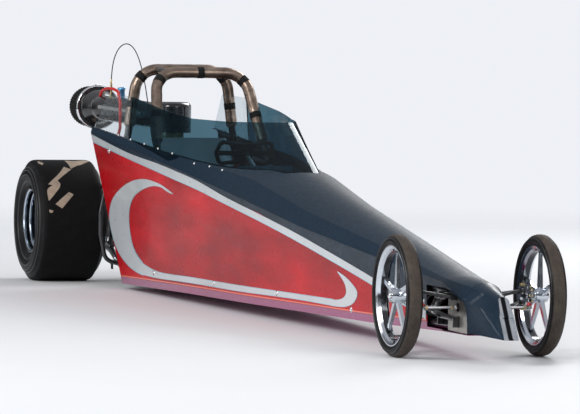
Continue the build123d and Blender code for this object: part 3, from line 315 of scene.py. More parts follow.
def weave(name, color, other, pitch):
    """Cloth with two crossing sets of threads."""
    n = new_material(name)
    x, y, z = n.split()
    warp, weft = (
        n.math("SINE", n.math("MULTIPLY", n.math("ADD", run, n.math("MULTIPLY", y, slope)), 2 * math.pi / pitch))
        for run, slope in ((x, 0.6), (z, 0.8))
    )
    cloth = n.math("MULTIPLY_ADD", n.math("MULTIPLY", warp, weft), 0.5, 0.5)
    soil = n.ranged(n.noise(12, 4), 0.3, 0.75)
    n.set(Base_Color=n.mix(soil, n.mix(cloth, shade(color, 0.8), color), other), Roughness=0.85)
    n.set(Specular_IOR_Level=0.25)
    n.bump(cloth, 0.6, 0.0008)
    return n.owner


def padding_cover():
    """Foil-faced foam sleeve, bronze and silver, creased across, with painted shade in the hollows of its folds
    and painted highlight on their tops.
    """
    n = new_material("padding_cover")
    fold_height_and_shade = n.noise(16, 4, n.stretched(1, 0.6, 1), roughness=0.6)
    # Colour follows the fold height: painted shade low in the folds, painted highlight on the raised parts
    base = n.mix(n.ranged(fold_height_and_shade, 0.3, 0.7), (0.15, 0.108, 0.085), (0.38, 0.29, 0.23))
    n.set(Base_Color=base, Metallic=0.85)
    n.set(Roughness=n.uneven(60, 0.26, 0.38))
    n.bump(fold_height_and_shade, 0.12, 0.003)
    return n.owner


def inner_panel_metal():
    """Brushed sheet, with painted shade over its upper half."""
    n = new_material("inner_panel_aluminium")
    _, _, z = n.split()
    streaks = n.noise(60, 4, n.stretched(3, 1, 0.15))
    # Line where the painted shade over the upper half begins, made streaky by the brushing
    edge = n.math("ADD", z, n.math("MULTIPLY", n.math("SUBTRACT", streaks, 0.5), 0.03))
    bright = n.mix(n.ranged(streaks, 0.3, 0.7), (0.42, 0.40, 0.36), (0.68, 0.66, 0.62))
    dark = n.blend(30, (0.06, 0.055, 0.05), (0.13, 0.12, 0.11), 4)
    n.set(Base_Color=n.mix(n.ranged(edge, 0.195, 0.225), bright, dark), Metallic=0.9)
    n.set(Roughness=n.ranged(streaks, 0.3, 0.7, 0.28, 0.45))
    n.bump(streaks, 0.15, 0.0008)
    return n.owner


def nose_plate_metal():
    """Polished plate, with a painted dark reflection down its middle."""
    n = new_material("nose_plate_polish")
    _, y, _ = n.split()
    # Painted dark reflection down the middle, over the plate's recess
    middle = n.ranged(n.math("ABSOLUTE", n.math("ADD", y, 0.004)), 0.009, 0.013)
    bright = n.blend(18, (0.55, 0.58, 0.62), (0.75, 0.78, 0.82))
    n.set(Base_Color=n.mix(middle, (0.02, 0.022, 0.026), bright), Metallic=1.0)
    n.set(Roughness=n.uneven(120, 0.08, 0.2))
    n.bump(n.noise(24, 3), 0.08, 0.002)
    return n.owner


MATERIALS = {
    "inner_panel": inner_panel_metal(),
    "nose_plate": nose_plate_metal(),
    "navy": paint("cowl_paint", NAVY, flake=0.05, rough=0.45, coat=0.08, specular=0.16),
    "side": side_paint(),
    "magenta": paint("rocker_paint", (0.28, 0.012, 0.13), flake=0.12, metal=0.3),
    "frame": paint("frame_paint", (0.012, 0.012, 0.014), rough=0.35),
    "polished": plain("polished_aluminium", (0.86, 0.87, 0.88), 0.1, 1.0, tone=0.04, grain=0.05, relief=0.03),
    "brushed": plain("brushed_aluminium", (0.66, 0.67, 0.68), 0.34, 1.0, tone=0.06, relief=0.1, relief_scale=500),
    "cast": plain(
        "cast_aluminium", (0.46, 0.46, 0.46), 0.5, 0.9, tone=0.12, grain=0.1, relief=0.5, relief_scale=420
    ),
    "gloss": paint("black_gloss", (0.010, 0.010, 0.012), coat=0.8, rough=0.25),
    "red": plain("red_silicone", (0.55, 0.012, 0.012), 0.32, tone=0.12, relief=0.1),
    "blue_cap": plain("pale_blue_anodised", (0.16, 0.42, 0.72), 0.25, 0.7, tone=0.1, relief=0.05),
    "seam": plain("dark_seam_tape", (0.012, 0.014, 0.016), 0.5, tone=0.2, relief=0.15),
    "bare": plain(
        "worn_tread_patch", (0.34, 0.27, 0.205), 0.85, tone=0.16, tone_scale=30, relief=0.5, relief_scale=250
    ),
    "dial": plain("dial_face", (0.02, 0.02, 0.022), 0.45, tone=0.1, relief=0.05),
    "mark": plain("dial_mark", (0.8, 0.8, 0.78), 0.5, tone=0.04, relief=0.05),
    "coil": plain("dark_spring_steel", (0.05, 0.05, 0.055), 0.25, 0.8, tone=0.15, relief=0.08),
    "brass": plain("zinc_plating", (0.66, 0.52, 0.27), 0.3, 0.95, tone=0.12, relief=0.08),
    "chrome": plain("chrome_plating", (0.86, 0.87, 0.9), 0.06, 1.0, tone=0.03, grain=0.04, relief=0.02),
    "steel": plain("brushed_steel", (0.5, 0.5, 0.51), 0.3, 1.0, tone=0.08, relief=0.1, relief_scale=600),
    "iron": plain("painted_iron", (0.035, 0.035, 0.04), 0.5, 0.2, tone=0.15, relief=0.4),
    # The rims' colours are darker and bluer than bare polish: a painted reflection of blue sky and dark ground
    "front_rim": turned_metal(
        "front_rim_polish", (0.66, 0.70, 0.76), *FRONT_AXLE, 0.08, 0.03, painted_groove_shade=(0.35, 0.013, 0.198)
    ),
    "rear_rim": turned_metal("rear_rim_polish", (0.62, 0.69, 0.78), *REAR_AXLE, 0.1, 0.05, dark_reflection_pitch=0.031),
    "disc": turned_metal("rear_disc_steel", (0.45, 0.44, 0.43), *REAR_AXLE, 0.3, 0.12),
    "front_tyre": tyre("front_tyre_rubber", *FRONT_AXLE, 0.012, (0.075, 0.06, 0.05), 0.3),
    "rear_tyre": tyre("rear_tyre_rubber", *REAR_AXLE, 0.02, (0.006, 0.006, 0.0065), 0.05),
    "ridge": plain("ridge_rubber", (0.018, 0.018, 0.019), 0.32, tone=0.1, relief=0.05),
    "rubber": plain("black_rubber", (0.02, 0.02, 0.02), 0.6, tone=0.2, relief=0.2),
    "smoke": glass("smoke_screen", (0.08, 0.17, 0.22)),
    "clear": glass("clear_screen", (0.82, 0.88, 0.90)),
    "padding": padding_cover(),
    "strap": weave("black_strap", (0.008, 0.008, 0.008), (0.014, 0.014, 0.014), 0.003),
    "filter": weave("filter_gauze", (0.007, 0.007, 0.008), (0.016, 0.015, 0.014), 0.004),
    "silver": paint("silver_stripe", SILVER, metal=0.35, coat=0.5),
    "edge": paint("pale_blue_outline", (0.36, 0.62, 0.72), metal=0.2),
    # Painted highlight for the bend above the rocker
    "orange": paint("orange_bend_highlight", (0.80, 0.10, 0.03)),
}

CAD_FINISH = {
    "navy": ("cowl", "nose_cone"),
    "side": ("side_panel_right", "side_panel_left"),
    "magenta": ("belly_pan",),
    "nose_plate": ("nose_plate",),
    "inner_panel": ("front_inner_panels",),
    "smoke": ("windscreen",),
    "clear": ("rear_side_windows",),
    "frame": ("chassis_frame", "roll_cage", "wishbones", "coil_over_springs"),
    "padding": ("cage_padding",),
    "brushed": ("firewall", "rack_housing", "dash_panel", "seat"),
    "cast": ("engine_block", "cylinder_heads", "intake_manifold", "transmission"),
    "polished": ("valve_covers",),
    "brass": ("carburettor", "throttle_cable_ends"),
    "gloss": ("intake_duct",),
    "filter": ("air_filter",),
    "chrome": ("exhaust_headers", "knuckle_right", "knuckle_left"),
    "iron": ("rear_axle_housing",),
    "disc": ("rear_spool",),
    "rear_rim": ("rear_wheel_rims",),
    "rear_tyre": ("rear_tyres",),
    "steel": ("coil_over_dampers", "steering_rack", "steering_column"),
    "rubber": ("steering_wheel",),
    "front_rim": ("front_wheel_right", "front_wheel_left", "front_hub_right", "front_hub_left"),
    "front_tyre": ("front_tyre_right", "front_tyre_left"),
}
for finish, names in CAD_FINISH.items():
    for name in names:
        materials = nodes[name].data.materials
        materials.clear()
        materials.append(MATERIALS[finish])


# Pieces
def piece(name, verts, faces, finish, body="chassis", smooth=False):
    mesh = bpy.data.meshes.new(name)
    mesh.from_pydata([tuple(v) for v in verts], [], faces)
    mesh.update()
    if smooth:
        mesh.polygons.foreach_set("use_smooth", [True] * len(mesh.polygons))
    mesh.materials.append(MATERIALS[finish])
    obj = added(name, mesh)
    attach(obj, body)
    return obj


# The body's sections: aft, lean, then height and half-width of the floor, the shoulder and the edge
SECTIONS = (
    (-230, 0, 126, 82, 270, 96, 336, 66),
    (70, 0, 114, 104, 347, 108, 360, 88),
    (1040, 0, 90, 148, 424, 167, 478, 136),
    (2000, 0, 78, 195, 512, 230, 585, 188),
    (2850, 0, 66, 238, 612, 287, 712, 228),
    (3900, 0, 54, 276, 724, 346, 790, 326),
    (5163, 0.545, 30, 300, 868, 378, 893, 368),
)


def section(aft, z):
    """Heights and half-widths of the body's section that passes through a place."""
    for a, b in zip(SECTIONS, SECTIONS[1:]):
        start, end = a[0] + a[1] * z, b[0] + b[1] * z
        if aft <= end or b is SECTIONS[-1]:
            share = (aft - start) / (end - start)
            return [p + (q - p) * share for p, q in zip(a, b)][2:]


def on_side(aft, z, side, proud):
    """Point on the side panel, standing proud of it by some mm."""
    floor_z, floor_w, shoulder_z, shoulder_w, edge_z, edge_w = section(aft, z)
    if z <= shoulder_z:
        w = floor_w + (shoulder_w - floor_w) * (z - floor_z) / (shoulder_z - floor_z)
    else:
        w = shoulder_w + (edge_w - shoulder_w) * (z - shoulder_z) / (edge_z - shoulder_z)
    return Vector((at(aft), side * (w + proud) / 1000, z / 1000))


stripe_surface = partial(on_side, proud=1.8)
outline_surface = partial(on_side, proud=1.4)


def even_stops(length, count):
    """Gap and share along it of evenly spaced stops, from the length up to each point of a line."""
    out, k = [], 0
    for n in range(count):
        goal = length[-1] * n / (count - 1)
        while k < len(length) - 2 and length[k + 1] < goal:
            k += 1
        out.append((k, (goal - length[k]) / (length[k + 1] - length[k] or 1)))
    return out


def spline_value(p, q, r, s, t):
    """Value a share t of the way from q to r, on a smooth curve through p, q, r and s."""
    return 0.5 * (2 * q + (r - p) * t + (2 * p - 5 * q + 4 * r - s) * t * t + (3 * q - p - 3 * r + s) * t**3)


def smooth_line(points, count):
    """Evenly spaced points on a smooth line through the given ones."""
    dense = []
    ends = [points[0], *points, points[-1]]
    for a, b, c, d in zip(ends, ends[1:], ends[2:], ends[3:]):
        for k in range(12):
            t = k / 12
            dense.append([spline_value(p, q, r, s, t) for p, q, r, s in zip(a, b, c, d)])
    dense.append(list(points[-1]))
    length = [0, *accumulate(math.dist(a, b) for a, b in zip(dense, dense[1:]))]
    return [[a + (b - a) * t for a, b in zip(dense[k], dense[k + 1])] for k, t in even_stops(length, count)]


def grown(line, other, by):
    """The line moved away from the other one."""
    out = []
    for a, b in zip(line, other):
        d = math.dist(a, b)
        out.append([p + (p - q) / d * by if d > 1e-6 else p for p, q in zip(a, b)])
    return out


def ribbon(name, first, second, finish, surface, across=4, body="chassis"):
    """Painted shape between two lines of points on a surface, on both sides of the car."""
    verts, faces = [], []
    for side in SIDES:
        base = len(verts)
        for a, b in zip(first, second):
            for k in range(across + 1):
                t = k / across
                verts.append(surface(*[p + (q - p) * t for p, q in zip(a, b)], side))
        for i in range(len(first) - 1):
            for k in range(across):
                p = base + i * (across + 1) + k
                quad = (p, p + 1, p + across + 2, p + across + 1)
                faces.append(quad if side < 0 else quad[::-1])
    return piece(name, verts, faces, finish, body)


def outlined(name, first, second, count, rim):
    """Silver shape with a thin pale outline, rim mm wide."""
    a, b = smooth_line(first, count), smooth_line(second, count)
    ribbon(name, a, b, "silver", stripe_surface)
    for k, (line, other) in enumerate(((a, b), (b, a))):
        ribbon(f"{name}_outline_{k}", line, grown(line, other, rim), "edge", outline_surface, across=1)


# Silver trim on the side panels, each shape as two edges of (aft, height)
outlined(
    "rear_crescent",
    [(4005, 585), (4146, 611), (4259, 627), (4408, 638), (4572, 641), (4765, 627), (4977, 591), (5149, 544),
     (5279, 487), (5342, 423), (5347, 361), (5316, 301), (5253, 237), (5173, 192), (5029, 145), (4881, 120),
     (4731, 108)],
    [(4005, 585), (4119, 594), (4242, 611), (4372, 613), (4529, 598), (4693, 567), (4814, 532), (4894, 486),
     (4933, 442), (4949, 386), (4942, 326), (4911, 261), (4839, 208), (4719, 165)],
    70,
    rim=9,
)
outlined(
    "lower_stripe",
    [(4731, 108), (4431, 106), (3772, 118), (3058, 123), (2163, 138), (1588, 140)],
    [(4719, 165), (4400, 136), (3765, 144), (3052, 149), (2159, 160), (1588, 167)],
    60,
    rim=4,
)
outlined(
    "front_hook",
    [(1588, 140), (1413, 142), (1284, 164), (1217, 201), (1213, 234), (1286, 268), (1360, 291), (1475, 314)],
    [(1588, 167), (1504, 168), (1407, 184), (1356, 214), (1366, 252), (1409, 282), (1475, 314)],
    40,
    rim=5,
)
UPPER_TOP = [(281, 196), (1040, 320), (1627, 411), (2100, 481), (2592, 545), (3110, 609), (3619, 682), (4205, 735),
             (4857, 777), (5615, 856)]
UPPER_LOW = [(281, 160), (1040, 286), (1632, 377), (2106, 447), (2599, 513), (3117, 576), (3632, 638), (4219, 692),
             (4865, 748), (5592, 816)]
ROCKER = [(275, 150), (1040, 130), (2000, 118), (2850, 106), (3900, 94), (5185, 71)]
low = smooth_line(UPPER_LOW, 90)
ribbon("upper_stripe", smooth_line(UPPER_TOP, 90), low, "silver", stripe_surface)
ribbon("upper_stripe_outline", low, [(aft, z - 6) for aft, z in low], "edge", outline_surface, across=1)
# Thin orange line along the rocker's upper edge: a painted highlight on the bend there
rocker = smooth_line(ROCKER, 80)
ribbon("rocker_bend_highlight", rocker, [(aft, z + 7) for aft, z in rocker], "orange", outline_surface, across=1)


def joined(forms):
    """Verts and faces of several forms as one."""
    verts, faces = [], []
    for more_verts, more_faces in forms:
        faces += [tuple(len(verts) + i for i in face) for face in more_faces]
        verts += more_verts
    return verts, faces


def walls(rows, count):
    """Faces between closed rows of count points each."""
    return [
        (i * count + k, i * count + (k + 1) % count, (i + 1) * count + (k + 1) % count, (i + 1) * count + k)
        for i in range(rows - 1)
        for k in range(count)
    ]


def revolve(profile, origin, axis, count):
    """Verts and faces of a profile of (radius, height) turned about an axis from origin."""
    turn = Vector(axis).normalized().to_track_quat("Z", "Y").to_matrix()
    verts = []
    for r, h in profile:
        for k in range(count):
            a = 2 * math.pi * k / count
            verts.append(Vector(origin) + turn @ Vector((r * math.cos(a), r * math.sin(a), h)))
    return verts, walls(len(profile), count)


def turned_set(name, profile, places, finish, count, body="chassis", smooth=True):
    """The same small turned form at several places, as one piece."""
    return piece(name, *joined(revolve(profile, *place, count) for place in places), finish, body, smooth)


# Quarter-turn buttons that hold the side panels, as (aft, height)
BUTTONS = [(5268, 773), (4519, 127), (3411, 136), (2387, 147), (1300, 135)]
BUTTON = [(0.015, -0.002), (0.015, 0.002), (0.0135, 0.0035), (0.008, 0.0035), (0.0075, 0.0025), (0.0001, 0.0025)]
places = [(on_side(aft, z, side, 0.5), (0, side, 0)) for aft, z in BUTTONS for side in SIDES]
turned_set("quarter_turn_buttons", BUTTON, places, "polished", count=24)


def evenly(points, step):
    """Points moved to even steps along their own line."""
    length = [0, *accumulate((b - a).length for a, b in zip(points, points[1:]))]
    count = max(2, round(length[-1] / step) + 1)
    return [points[k].lerp(points[k + 1], t) for k, t in even_stops(length, count)]


def rounded(points, bend, step):
    """Line through the points with each corner turned on a radius, in even steps."""
    points = [Vector(point) for point in points]
    out = [points[0]]
    for a, b, c in zip(points, points[1:], points[2:]):
        u, v = (a - b).normalized(), (c - b).normalized()
        half = u.angle(v) / 2
        centre = b + (u + v).normalized() * bend / math.sin(half)
        start, end = b + u * bend / math.tan(half) - centre, b + v * bend / math.tan(half) - centre
        out += [centre + start.slerp(end, k / 10).normalized() * bend for k in range(11)]
    out.append(points[-1])
    return evenly(out, step)


def swept(path, radius, count):
    """Verts and faces of a tube along a path; radius is a size or a function of the length so far."""
    verts = []
    tangent = (path[1] - path[0]).normalized()
    normal = tangent.orthogonal().normalized()
    length = 0
    for i, point in enumerate(path):
        ahead = (path[min(i + 1, len(path) - 1)] - path[max(i - 1, 0)]).normalized()
        normal = (tangent.rotation_difference(ahead) @ normal).normalized()
        tangent = ahead
        other = tangent.cross(normal)
        r = radius(length) if callable(radius) else radius
        for k in range(count):
            a = 2 * math.pi * k / count
            verts.append(point + (normal * math.cos(a) + other * math.sin(a)) * r)
        if i + 1 < len(path):
            length += (path[i + 1] - point).length
    faces = walls(len(path), count)
    faces.append(tuple(reversed(range(count))))
    faces.append(tuple((len(path) - 1) * count + k for k in range(count)))
    return verts, faces


def tubes(name, paths, radius, finish, count):
    """Several tubes as one piece."""
    return piece(name, *joined(swept(path, radius, count) for path in paths), finish, smooth=True)


# Padding on the hoops, each with its points, the length from a foot to the padding and the lengths to the straps
HOOPS = (
    (
        ((4390, -318, 728), (4690, -252, 1230), (4690, 252, 1230), (4390, 318, 728)),
        0.145,
        (0.313, 0.54, 0.798, 1.056, 1.283),
    ),
    (
        ((5080, -318, 775), (5070, -256, 1238), (5070, 256, 1238), (5080, 318, 775)),
        0.147,
        (0.269, 0.435, 0.93, 1.096),
    ),
)
HOOP_BEND = 0.13
HOOP_STEP = 0.006
PADDING_R = 0.0308
STRAP_R = 0.0322
PINCH_DEPTH = 0.0022
PINCH_REACH = 0.016


def padding():
    covers, straps = [], []
    for points, foot, strap_at in HOOPS:
        line = rounded([spot(*point) for point in points], HOOP_BEND, HOOP_STEP)
        skip = round(foot / HOOP_STEP)
        part = line[skip:-skip]
        total = (len(part) - 1) * HOOP_STEP

        def radius(length):
            pinch = sum(math.exp(-(((length + foot - s) / PINCH_REACH) ** 2)) for s in strap_at)
            end = min(length, total - length)
            close = 0.0085 * max(0.0, 1 - end / 0.012) ** 2
            wave = 0.0002 * math.sin(length * 70) + 0.0002 * math.sin(length * 110 + 1)
            return PADDING_R + wave - PINCH_DEPTH * min(pinch, 1) - close

        covers.append(swept(part, radius, 24))
        for s in strap_at:
            k = round(s / HOOP_STEP)
            straps.append(line[k - 3 : k + 4])
    cover = piece("cage_padding_cover", *joined(covers), "padding", smooth=True)
    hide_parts("cage_padding")
    tubes("cage_padding_straps", straps, STRAP_R, "strap", count=24)


padding()


# Rays start farther out than any skin they look for
OUTSIDE = 0.6


def surface_of(name):
    mesh = nodes[name].data
    return BVHTree.FromPolygons([v.co for v in mesh.vertices], [p.vertices[:] for p in mesh.polygons])


def hits_from_side(skins, aft, z, side, least):
    """Where a level line from the car's side meets the skins, beyond the least half-width."""
    hits = [skin.ray_cast(Vector((at(aft), side * OUTSIDE, z)), Vector((0, -side, 0))) for skin in skins]
    return [hit for hit in hits if hit[0] is not None and hit[0].y * side > least]


# Rivets along the windscreen's foot, as (aft, height)
RIVETS = [(3275, 742), (3459, 754), (3676, 762), (4030, 803), (4300, 820), (4575, 836), (4860, 851), (5120, 868),
          (5385, 886)]
DOME = [(0.0062, -0.002), (0.0062, 0.0), (0.0052, 0.002), (0.003, 0.0036), (0.0001, 0.0042)]


def rivets():
    """Rivets set where lines from the side meet the screen, the panes or the cowl."""
    skins = [surface_of("windscreen"), surface_of("rear_side_windows"), surface_of("cowl")]
    places = []
    for aft, z in RIVETS:
        for side in SIDES:
            hits = hits_from_side(skins, aft, z / 1000, side, 0)
            if hits:
                place, normal, _, _ = min(hits, key=lambda hit: hit[3])
                places.append((place, normal if normal.y * side > 0 else -normal))
    turned_set("screen_rivets", DOME, places, "mark", count=12)


rivets()

# Springs of the front units, wound between a damper's foot and top
SPRING_Y = 0.138
SPRING_TOP_Z = 0.288
SPRING_FOOT = Vector((FRONT_AXLE_X, -0.168, 0.2127))
SPRING_TOP = Vector((FRONT_AXLE_X, -SPRING_Y, SPRING_TOP_Z))
COIL_SPAN = (0.255, 0.725)
COIL_STEPS = 120
COIL_TURNS = 4.2
COIL_R = 0.0213
WIRE_R = 0.0026


def springs():
    axis = (SPRING_TOP - SPRING_FOOT).normalized()
    side = Vector((1, 0, 0))
    other = axis.cross(side)
    start, end = (SPRING_FOOT.lerp(SPRING_TOP, share) for share in COIL_SPAN)
    coil = []
    for k in range(COIL_STEPS + 1):
        t = k / COIL_STEPS
        turn = 2 * math.pi * COIL_TURNS * t
        coil.append(start.lerp(end, t) + (side * math.cos(turn) + other * math.sin(turn)) * COIL_R)
    coils = [[Vector((x, s * y, z)) for x, y, z in coil] for s in (1, -1)]
    obj = tubes("coil_springs", coils, WIRE_R, "coil", count=8)
    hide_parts("coil_over_springs")


springs()

# Air filter: pleated drum as rows of (depth, share of a pleat, inset), with an end plate and a clamp
FILTER_X, FILTER_Y, FILTER_Z = at(5880), -0.28, 1.005
FILTER_R = 0.1165
PLEATS = 46
PLEAT_DEPTH = 0.0065
DRUM_ROWS = [(0.0, 0, 0), (0.004, 0.35, 0), (0.012, 1, 0), (0.196, 1, 0), (0.206, 0.35, 0.004), (0.2105, 0, 0.008)]
CLAMP = [(0.1205, -0.004), (0.1262, -0.003), (0.1262, 0.003), (0.1235, 0.006), (0.1235, 0.018), (0.1262, 0.021),
         (0.1262, 0.027), (0.1205, 0.028)]
END_PLATE = [(0.085, 0.0), (0.085, 0.0035), (0.078, 0.0042), (0.0001, 0.0042)]
CLAMP_SCREW = [(0.005, -0.002), (0.005, 0.03), (0.0001, 0.03)]


def air_filter():
    x0, y0, z0 = FILTER_X, FILTER_Y, FILTER_Z
    count = 4 * PLEATS
    verts = []
    for depth, share, inset in DRUM_ROWS:
        for k in range(count):
            a = 2 * math.pi * k / count
            r = FILTER_R - share * PLEAT_DEPTH * (0.5 + 0.5 * math.cos(a * PLEATS)) - inset
            verts.append((x0 - depth, y0 + r * math.cos(a), z0 + r * math.sin(a)))
    faces = [(a, d, c, b) for a, b, c, d in walls(len(DRUM_ROWS), count)]
    faces.append(tuple(range(count)))
    faces.append(tuple(reversed(range((len(DRUM_ROWS) - 1) * count, len(DRUM_ROWS) * count))))
    drum = piece("air_filter_pleats", verts, faces, "filter")
    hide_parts("air_filter")
    turned_set("air_filter_end_plate", END_PLATE, [((x0 - 0.2103, y0, z0), (-1, 0, 0))], "gloss", count=40)
    turned_set("duct_clamp_ring", CLAMP, [((x0 + 0.024, y0, z0), (-1, 0, 0))], "chrome", count=48)
    screw_place = ((x0 + 0.014, y0 - 0.016, z0 + 0.1255), (0, 1, 0))
    turned_set("duct_clamp_screw", CLAMP_SCREW, [screw_place], "steel", count=10)


air_filter()

# Wheels and tyres: distances along an axle from the car's middle
REAR_TYRE_Y = 0.4625
REAR_HUB_Y = 0.4105
REAR_CAP_Y = 0.4445
FRONT_TYRE_Y = 0.35
FRONT_WALL_Y = 0.0385
FRONT_HUB_Y = 0.384
KINGPIN_Y = 0.262
PATCH_PROUD = 0.0007
TREAD = surface_of("rear_tyres")


def on_tread(degrees, inboard, side):
    """Point on a rear tyre, by the angle forward of its top and mm inboard of its middle."""
    a = math.radians(degrees)
    y = side * (REAR_TYRE_Y - inboard / 1000)
    ray = Vector((math.sin(a), 0, math.cos(a)))
    hit, _, _, _ = TREAD.ray_cast(Vector((REAR_AXLE_X, y, REAR_TYRE_R)) + ray * OUTSIDE, -ray)
    return hit + ray * PATCH_PROUD


# Worn patches on the tread as pairs of edges of (degrees, mm inboard)
PATCHES = (
    (((8, 10), (10, 60), (7, 120), (5, 170)), ((30, 19), (24, 60), (20, 102), (9, 165))),
    (((26, -18), (38, -64), (51.5, -140)), ((31, 19), (46, -74), (52.5, -112))),
    (((52.8, -116), (57.7, -149), (68, -148)), ((47, -80), (53.5, -69), (69, -144))),
    (((60, -24), (72.1, -109)), ((62.5, 3), (76.4, -71))),
    (((77.5, -148), (80.1, -146)), ((78.5, -122), (80.7, -130))),
    (((10.4, -154), (17.2, -157)), ((18.2, -126), (22.8, -142))),
)
for number, (first, second) in enumerate(PATCHES):
    edges = [smooth_line(edge, 14) for edge in (first, second)]
    ribbon(f"tread_patch_{number}", *edges, "bare", on_tread, across=8, body="rear_wheels")

# Ridges moulded round the rear tyres' side walls, by radius
for number, radius in enumerate((0.226, 0.262, 0.287, 0.303)):
    profile = ((-0.005, -0.005), (-0.0025, 0.0026), (0.0015, 0.003), (0.004, -0.006))
    ridge = [(radius + out, height) for out, height in profile]
    places = []
    for side in SIDES:
        for way in SIDES:
            start = Vector((REAR_AXLE_X, side * REAR_TYRE_Y + way * 0.3, REAR_TYRE_R + radius))
            hit, _, _, _ = TREAD.ray_cast(start, Vector((0, -way, 0)))
            places.append(((REAR_AXLE_X, hit.y, REAR_TYRE_R), (0, way, 0)))
    turned_set(f"rear_tyre_ridge_{number}", ridge, places, "ridge", 96, "rear_wheels")


def ring_of(axle, count, radius, y, side, turn=0.0):
    """Places round an axle, facing outward."""
    (x0, z0), out = axle, []
    for k in range(count):
        a = 2 * math.pi * k / count + turn
        out.append(((x0 + radius * math.sin(a), side * y, z0 + radius * math.cos(a)), (0, side, 0)))
    return out


def rear_set(name, profile, ring, finish, count, smooth=True):
    """The same small form in a ring on both rear wheels; ring is how many, radius, y and turn."""
    places = [place for side in SIDES for place in ring_of(REAR_AXLE, *ring[:3], side, *ring[3:])]
    turned_set(name, profile, places, finish, count, "rear_wheels", smooth)


# Profiles of small parts as (radius, height)
NUT = [(0.0115, -0.001), (0.0115, 0.016), (0.0095, 0.0195), (0.006, 0.0195), (0.006, 0.026), (0.0001, 0.026)]
SMALL_BOLT = [(0.0052, -0.001), (0.0052, 0.004), (0.0044, 0.005), (0.0024, 0.005), (0.0024, 0.0025),
              (0.0001, 0.0025)]
STEM = [(0.0045, -0.004), (0.0045, 0.012), (0.003, 0.014), (0.003, 0.026), (0.004, 0.026), (0.004, 0.034),
        (0.0001, 0.034)]
REAR_CAP = [(0.040, -0.002), (0.040, 0.003), (0.034, 0.006), (0.031, 0.006), (0.030, 0.004), (0.012, 0.005),
            (0.010, 0.009), (0.0001, 0.010)]
DUST_CAP = [(0.0148, -0.003), (0.0148, 0.006), (0.0135, 0.0085), (0.009, 0.0095), (0.0001, 0.010)]
KINGPIN_NUT = [(0.0135, -0.001), (0.0135, 0.008), (0.012, 0.010), (0.006, 0.010), (0.006, 0.014), (0.0001, 0.014)]
RIM_STEPS = ((0.178, 0.627), (0.171, 0.598), (0.166, 0.560), (0.163, 0.515))

rear_set("rear_lug_nuts", NUT, (5, 0.0625, REAR_HUB_Y, 0.3), "steel", 6, smooth=False)
rear_set("rear_centre_bolts", SMALL_BOLT, (15, 0.146, REAR_HUB_Y), "steel", 12)
rear_set("rear_hub_caps", REAR_CAP, (1, 0.0, REAR_CAP_Y), "gloss", 40)
for number, (radius, y) in enumerate(RIM_STEPS):
    bead = [(radius + 0.004, -0.008), (radius - 0.004, -0.007), (radius - 0.008, -0.003), (radius - 0.008, 0.002),
            (radius - 0.003, 0.004), (radius + 0.004, 0.005)]
    rear_set(f"rear_rim_step_{number}", bead, (1, 0.0, y), "rear_rim", 96)
rear_set("rear_valve_stems", STEM, (1, 0.163, 0.56, 2.2), "rubber", 12)

for side, s in (("right", -1), ("left", 1)):
    body = f"wheel_front_{side}"
    spots = ring_of(FRONT_AXLE, 5, 0.0225, FRONT_HUB_Y, s, 0.6)
    turned_set(f"front_wheel_bolts_{side}", SMALL_BOLT, spots, "steel", 12, body)
    spots = ring_of(FRONT_AXLE, 1, 0.0, FRONT_HUB_Y, s)
    turned_set(f"front_dust_cap_{side}", DUST_CAP, spots, "polished", 28, body)
    # On the hub's inner face, so they point to the car's middle
    spots = [((x, -y, z), axis) for (x, y, z), axis in ring_of(FRONT_AXLE, 8, 0.038, 0.302, -s)]
    turned_set(f"front_hub_bolts_{side}", SMALL_BOLT, spots, "brass", 12, body)
    spots = ring_of(FRONT_AXLE, 1, 0.2085, 0.366, s, 2.6)
    turned_set(f"front_valve_stem_{side}", STEM, spots, "rubber", 12, body)
    for number, radius in enumerate((0.252, 0.266)):
        ridge = [(radius - 0.002, -0.003), (radius, 0.0009), (radius + 0.002, -0.003)]
        walls_y = [(way, s * FRONT_TYRE_Y + way * FRONT_WALL_Y) for way in SIDES]
        spots = [((FRONT_AXLE_X, y, FRONT_TYRE_R), (0, way, 0)) for way, y in walls_y]
        turned_set(f"front_tyre_ridge_{side}_{number}", ridge, spots, "ridge", 96, body)
    spots = [((FRONT_AXLE_X, s * KINGPIN_Y, z), (0, 0, up)) for z, up in ((0.330, 1), (0.228, -1))]
    turned_set(f"kingpin_nuts_{side}", KINGPIN_NUT, spots, "brass", 6, f"knuckle_{side}", smooth=False)

# Rubber boots and jam nuts at the tie rods' ends
TIE_ROD_X = FRONT_AXLE_X + 0.1
BOOT = [(0.0095, 0.0), (0.0125, 0.002), (0.0125, 0.005), (0.0095, 0.008), (0.009, 0.011), (0.0078, 0.0135),
        (0.005, 0.0145)]
spots = [((TIE_ROD_X, s * KINGPIN_Y, 0.244), (0, 0, 1)) for s in SIDES]
turned_set("tie_rod_boots", BOOT, spots, "red", 24, "steering_rack")
JAM_NUT = [(0.0105, 0.0), (0.0105, 0.009), (0.0062, 0.0095)]
spots = [((TIE_ROD_X, s * y, 0.236), (0, s, 0)) for s in SIDES for y in (0.112, 0.236)]
turned_set("tie_rod_jam_nuts", JAM_NUT, spots, "brass", 6, "steering_rack", smooth=False)

# Bolts that hold the spring units
UNIT_BOLT = [(0.0085, 0.0), (0.0085, 0.006), (0.007, 0.0075), (0.0001, 0.0075)]
spots = [((FRONT_AXLE_X + end * 0.0215, s * SPRING_Y, SPRING_TOP_Z), (end, 0, 0)) for end in SIDES for s in SIDES]
turned_set("spring_unit_bolts", UNIT_BOLT, spots, "brass", count=6, smooth=False)

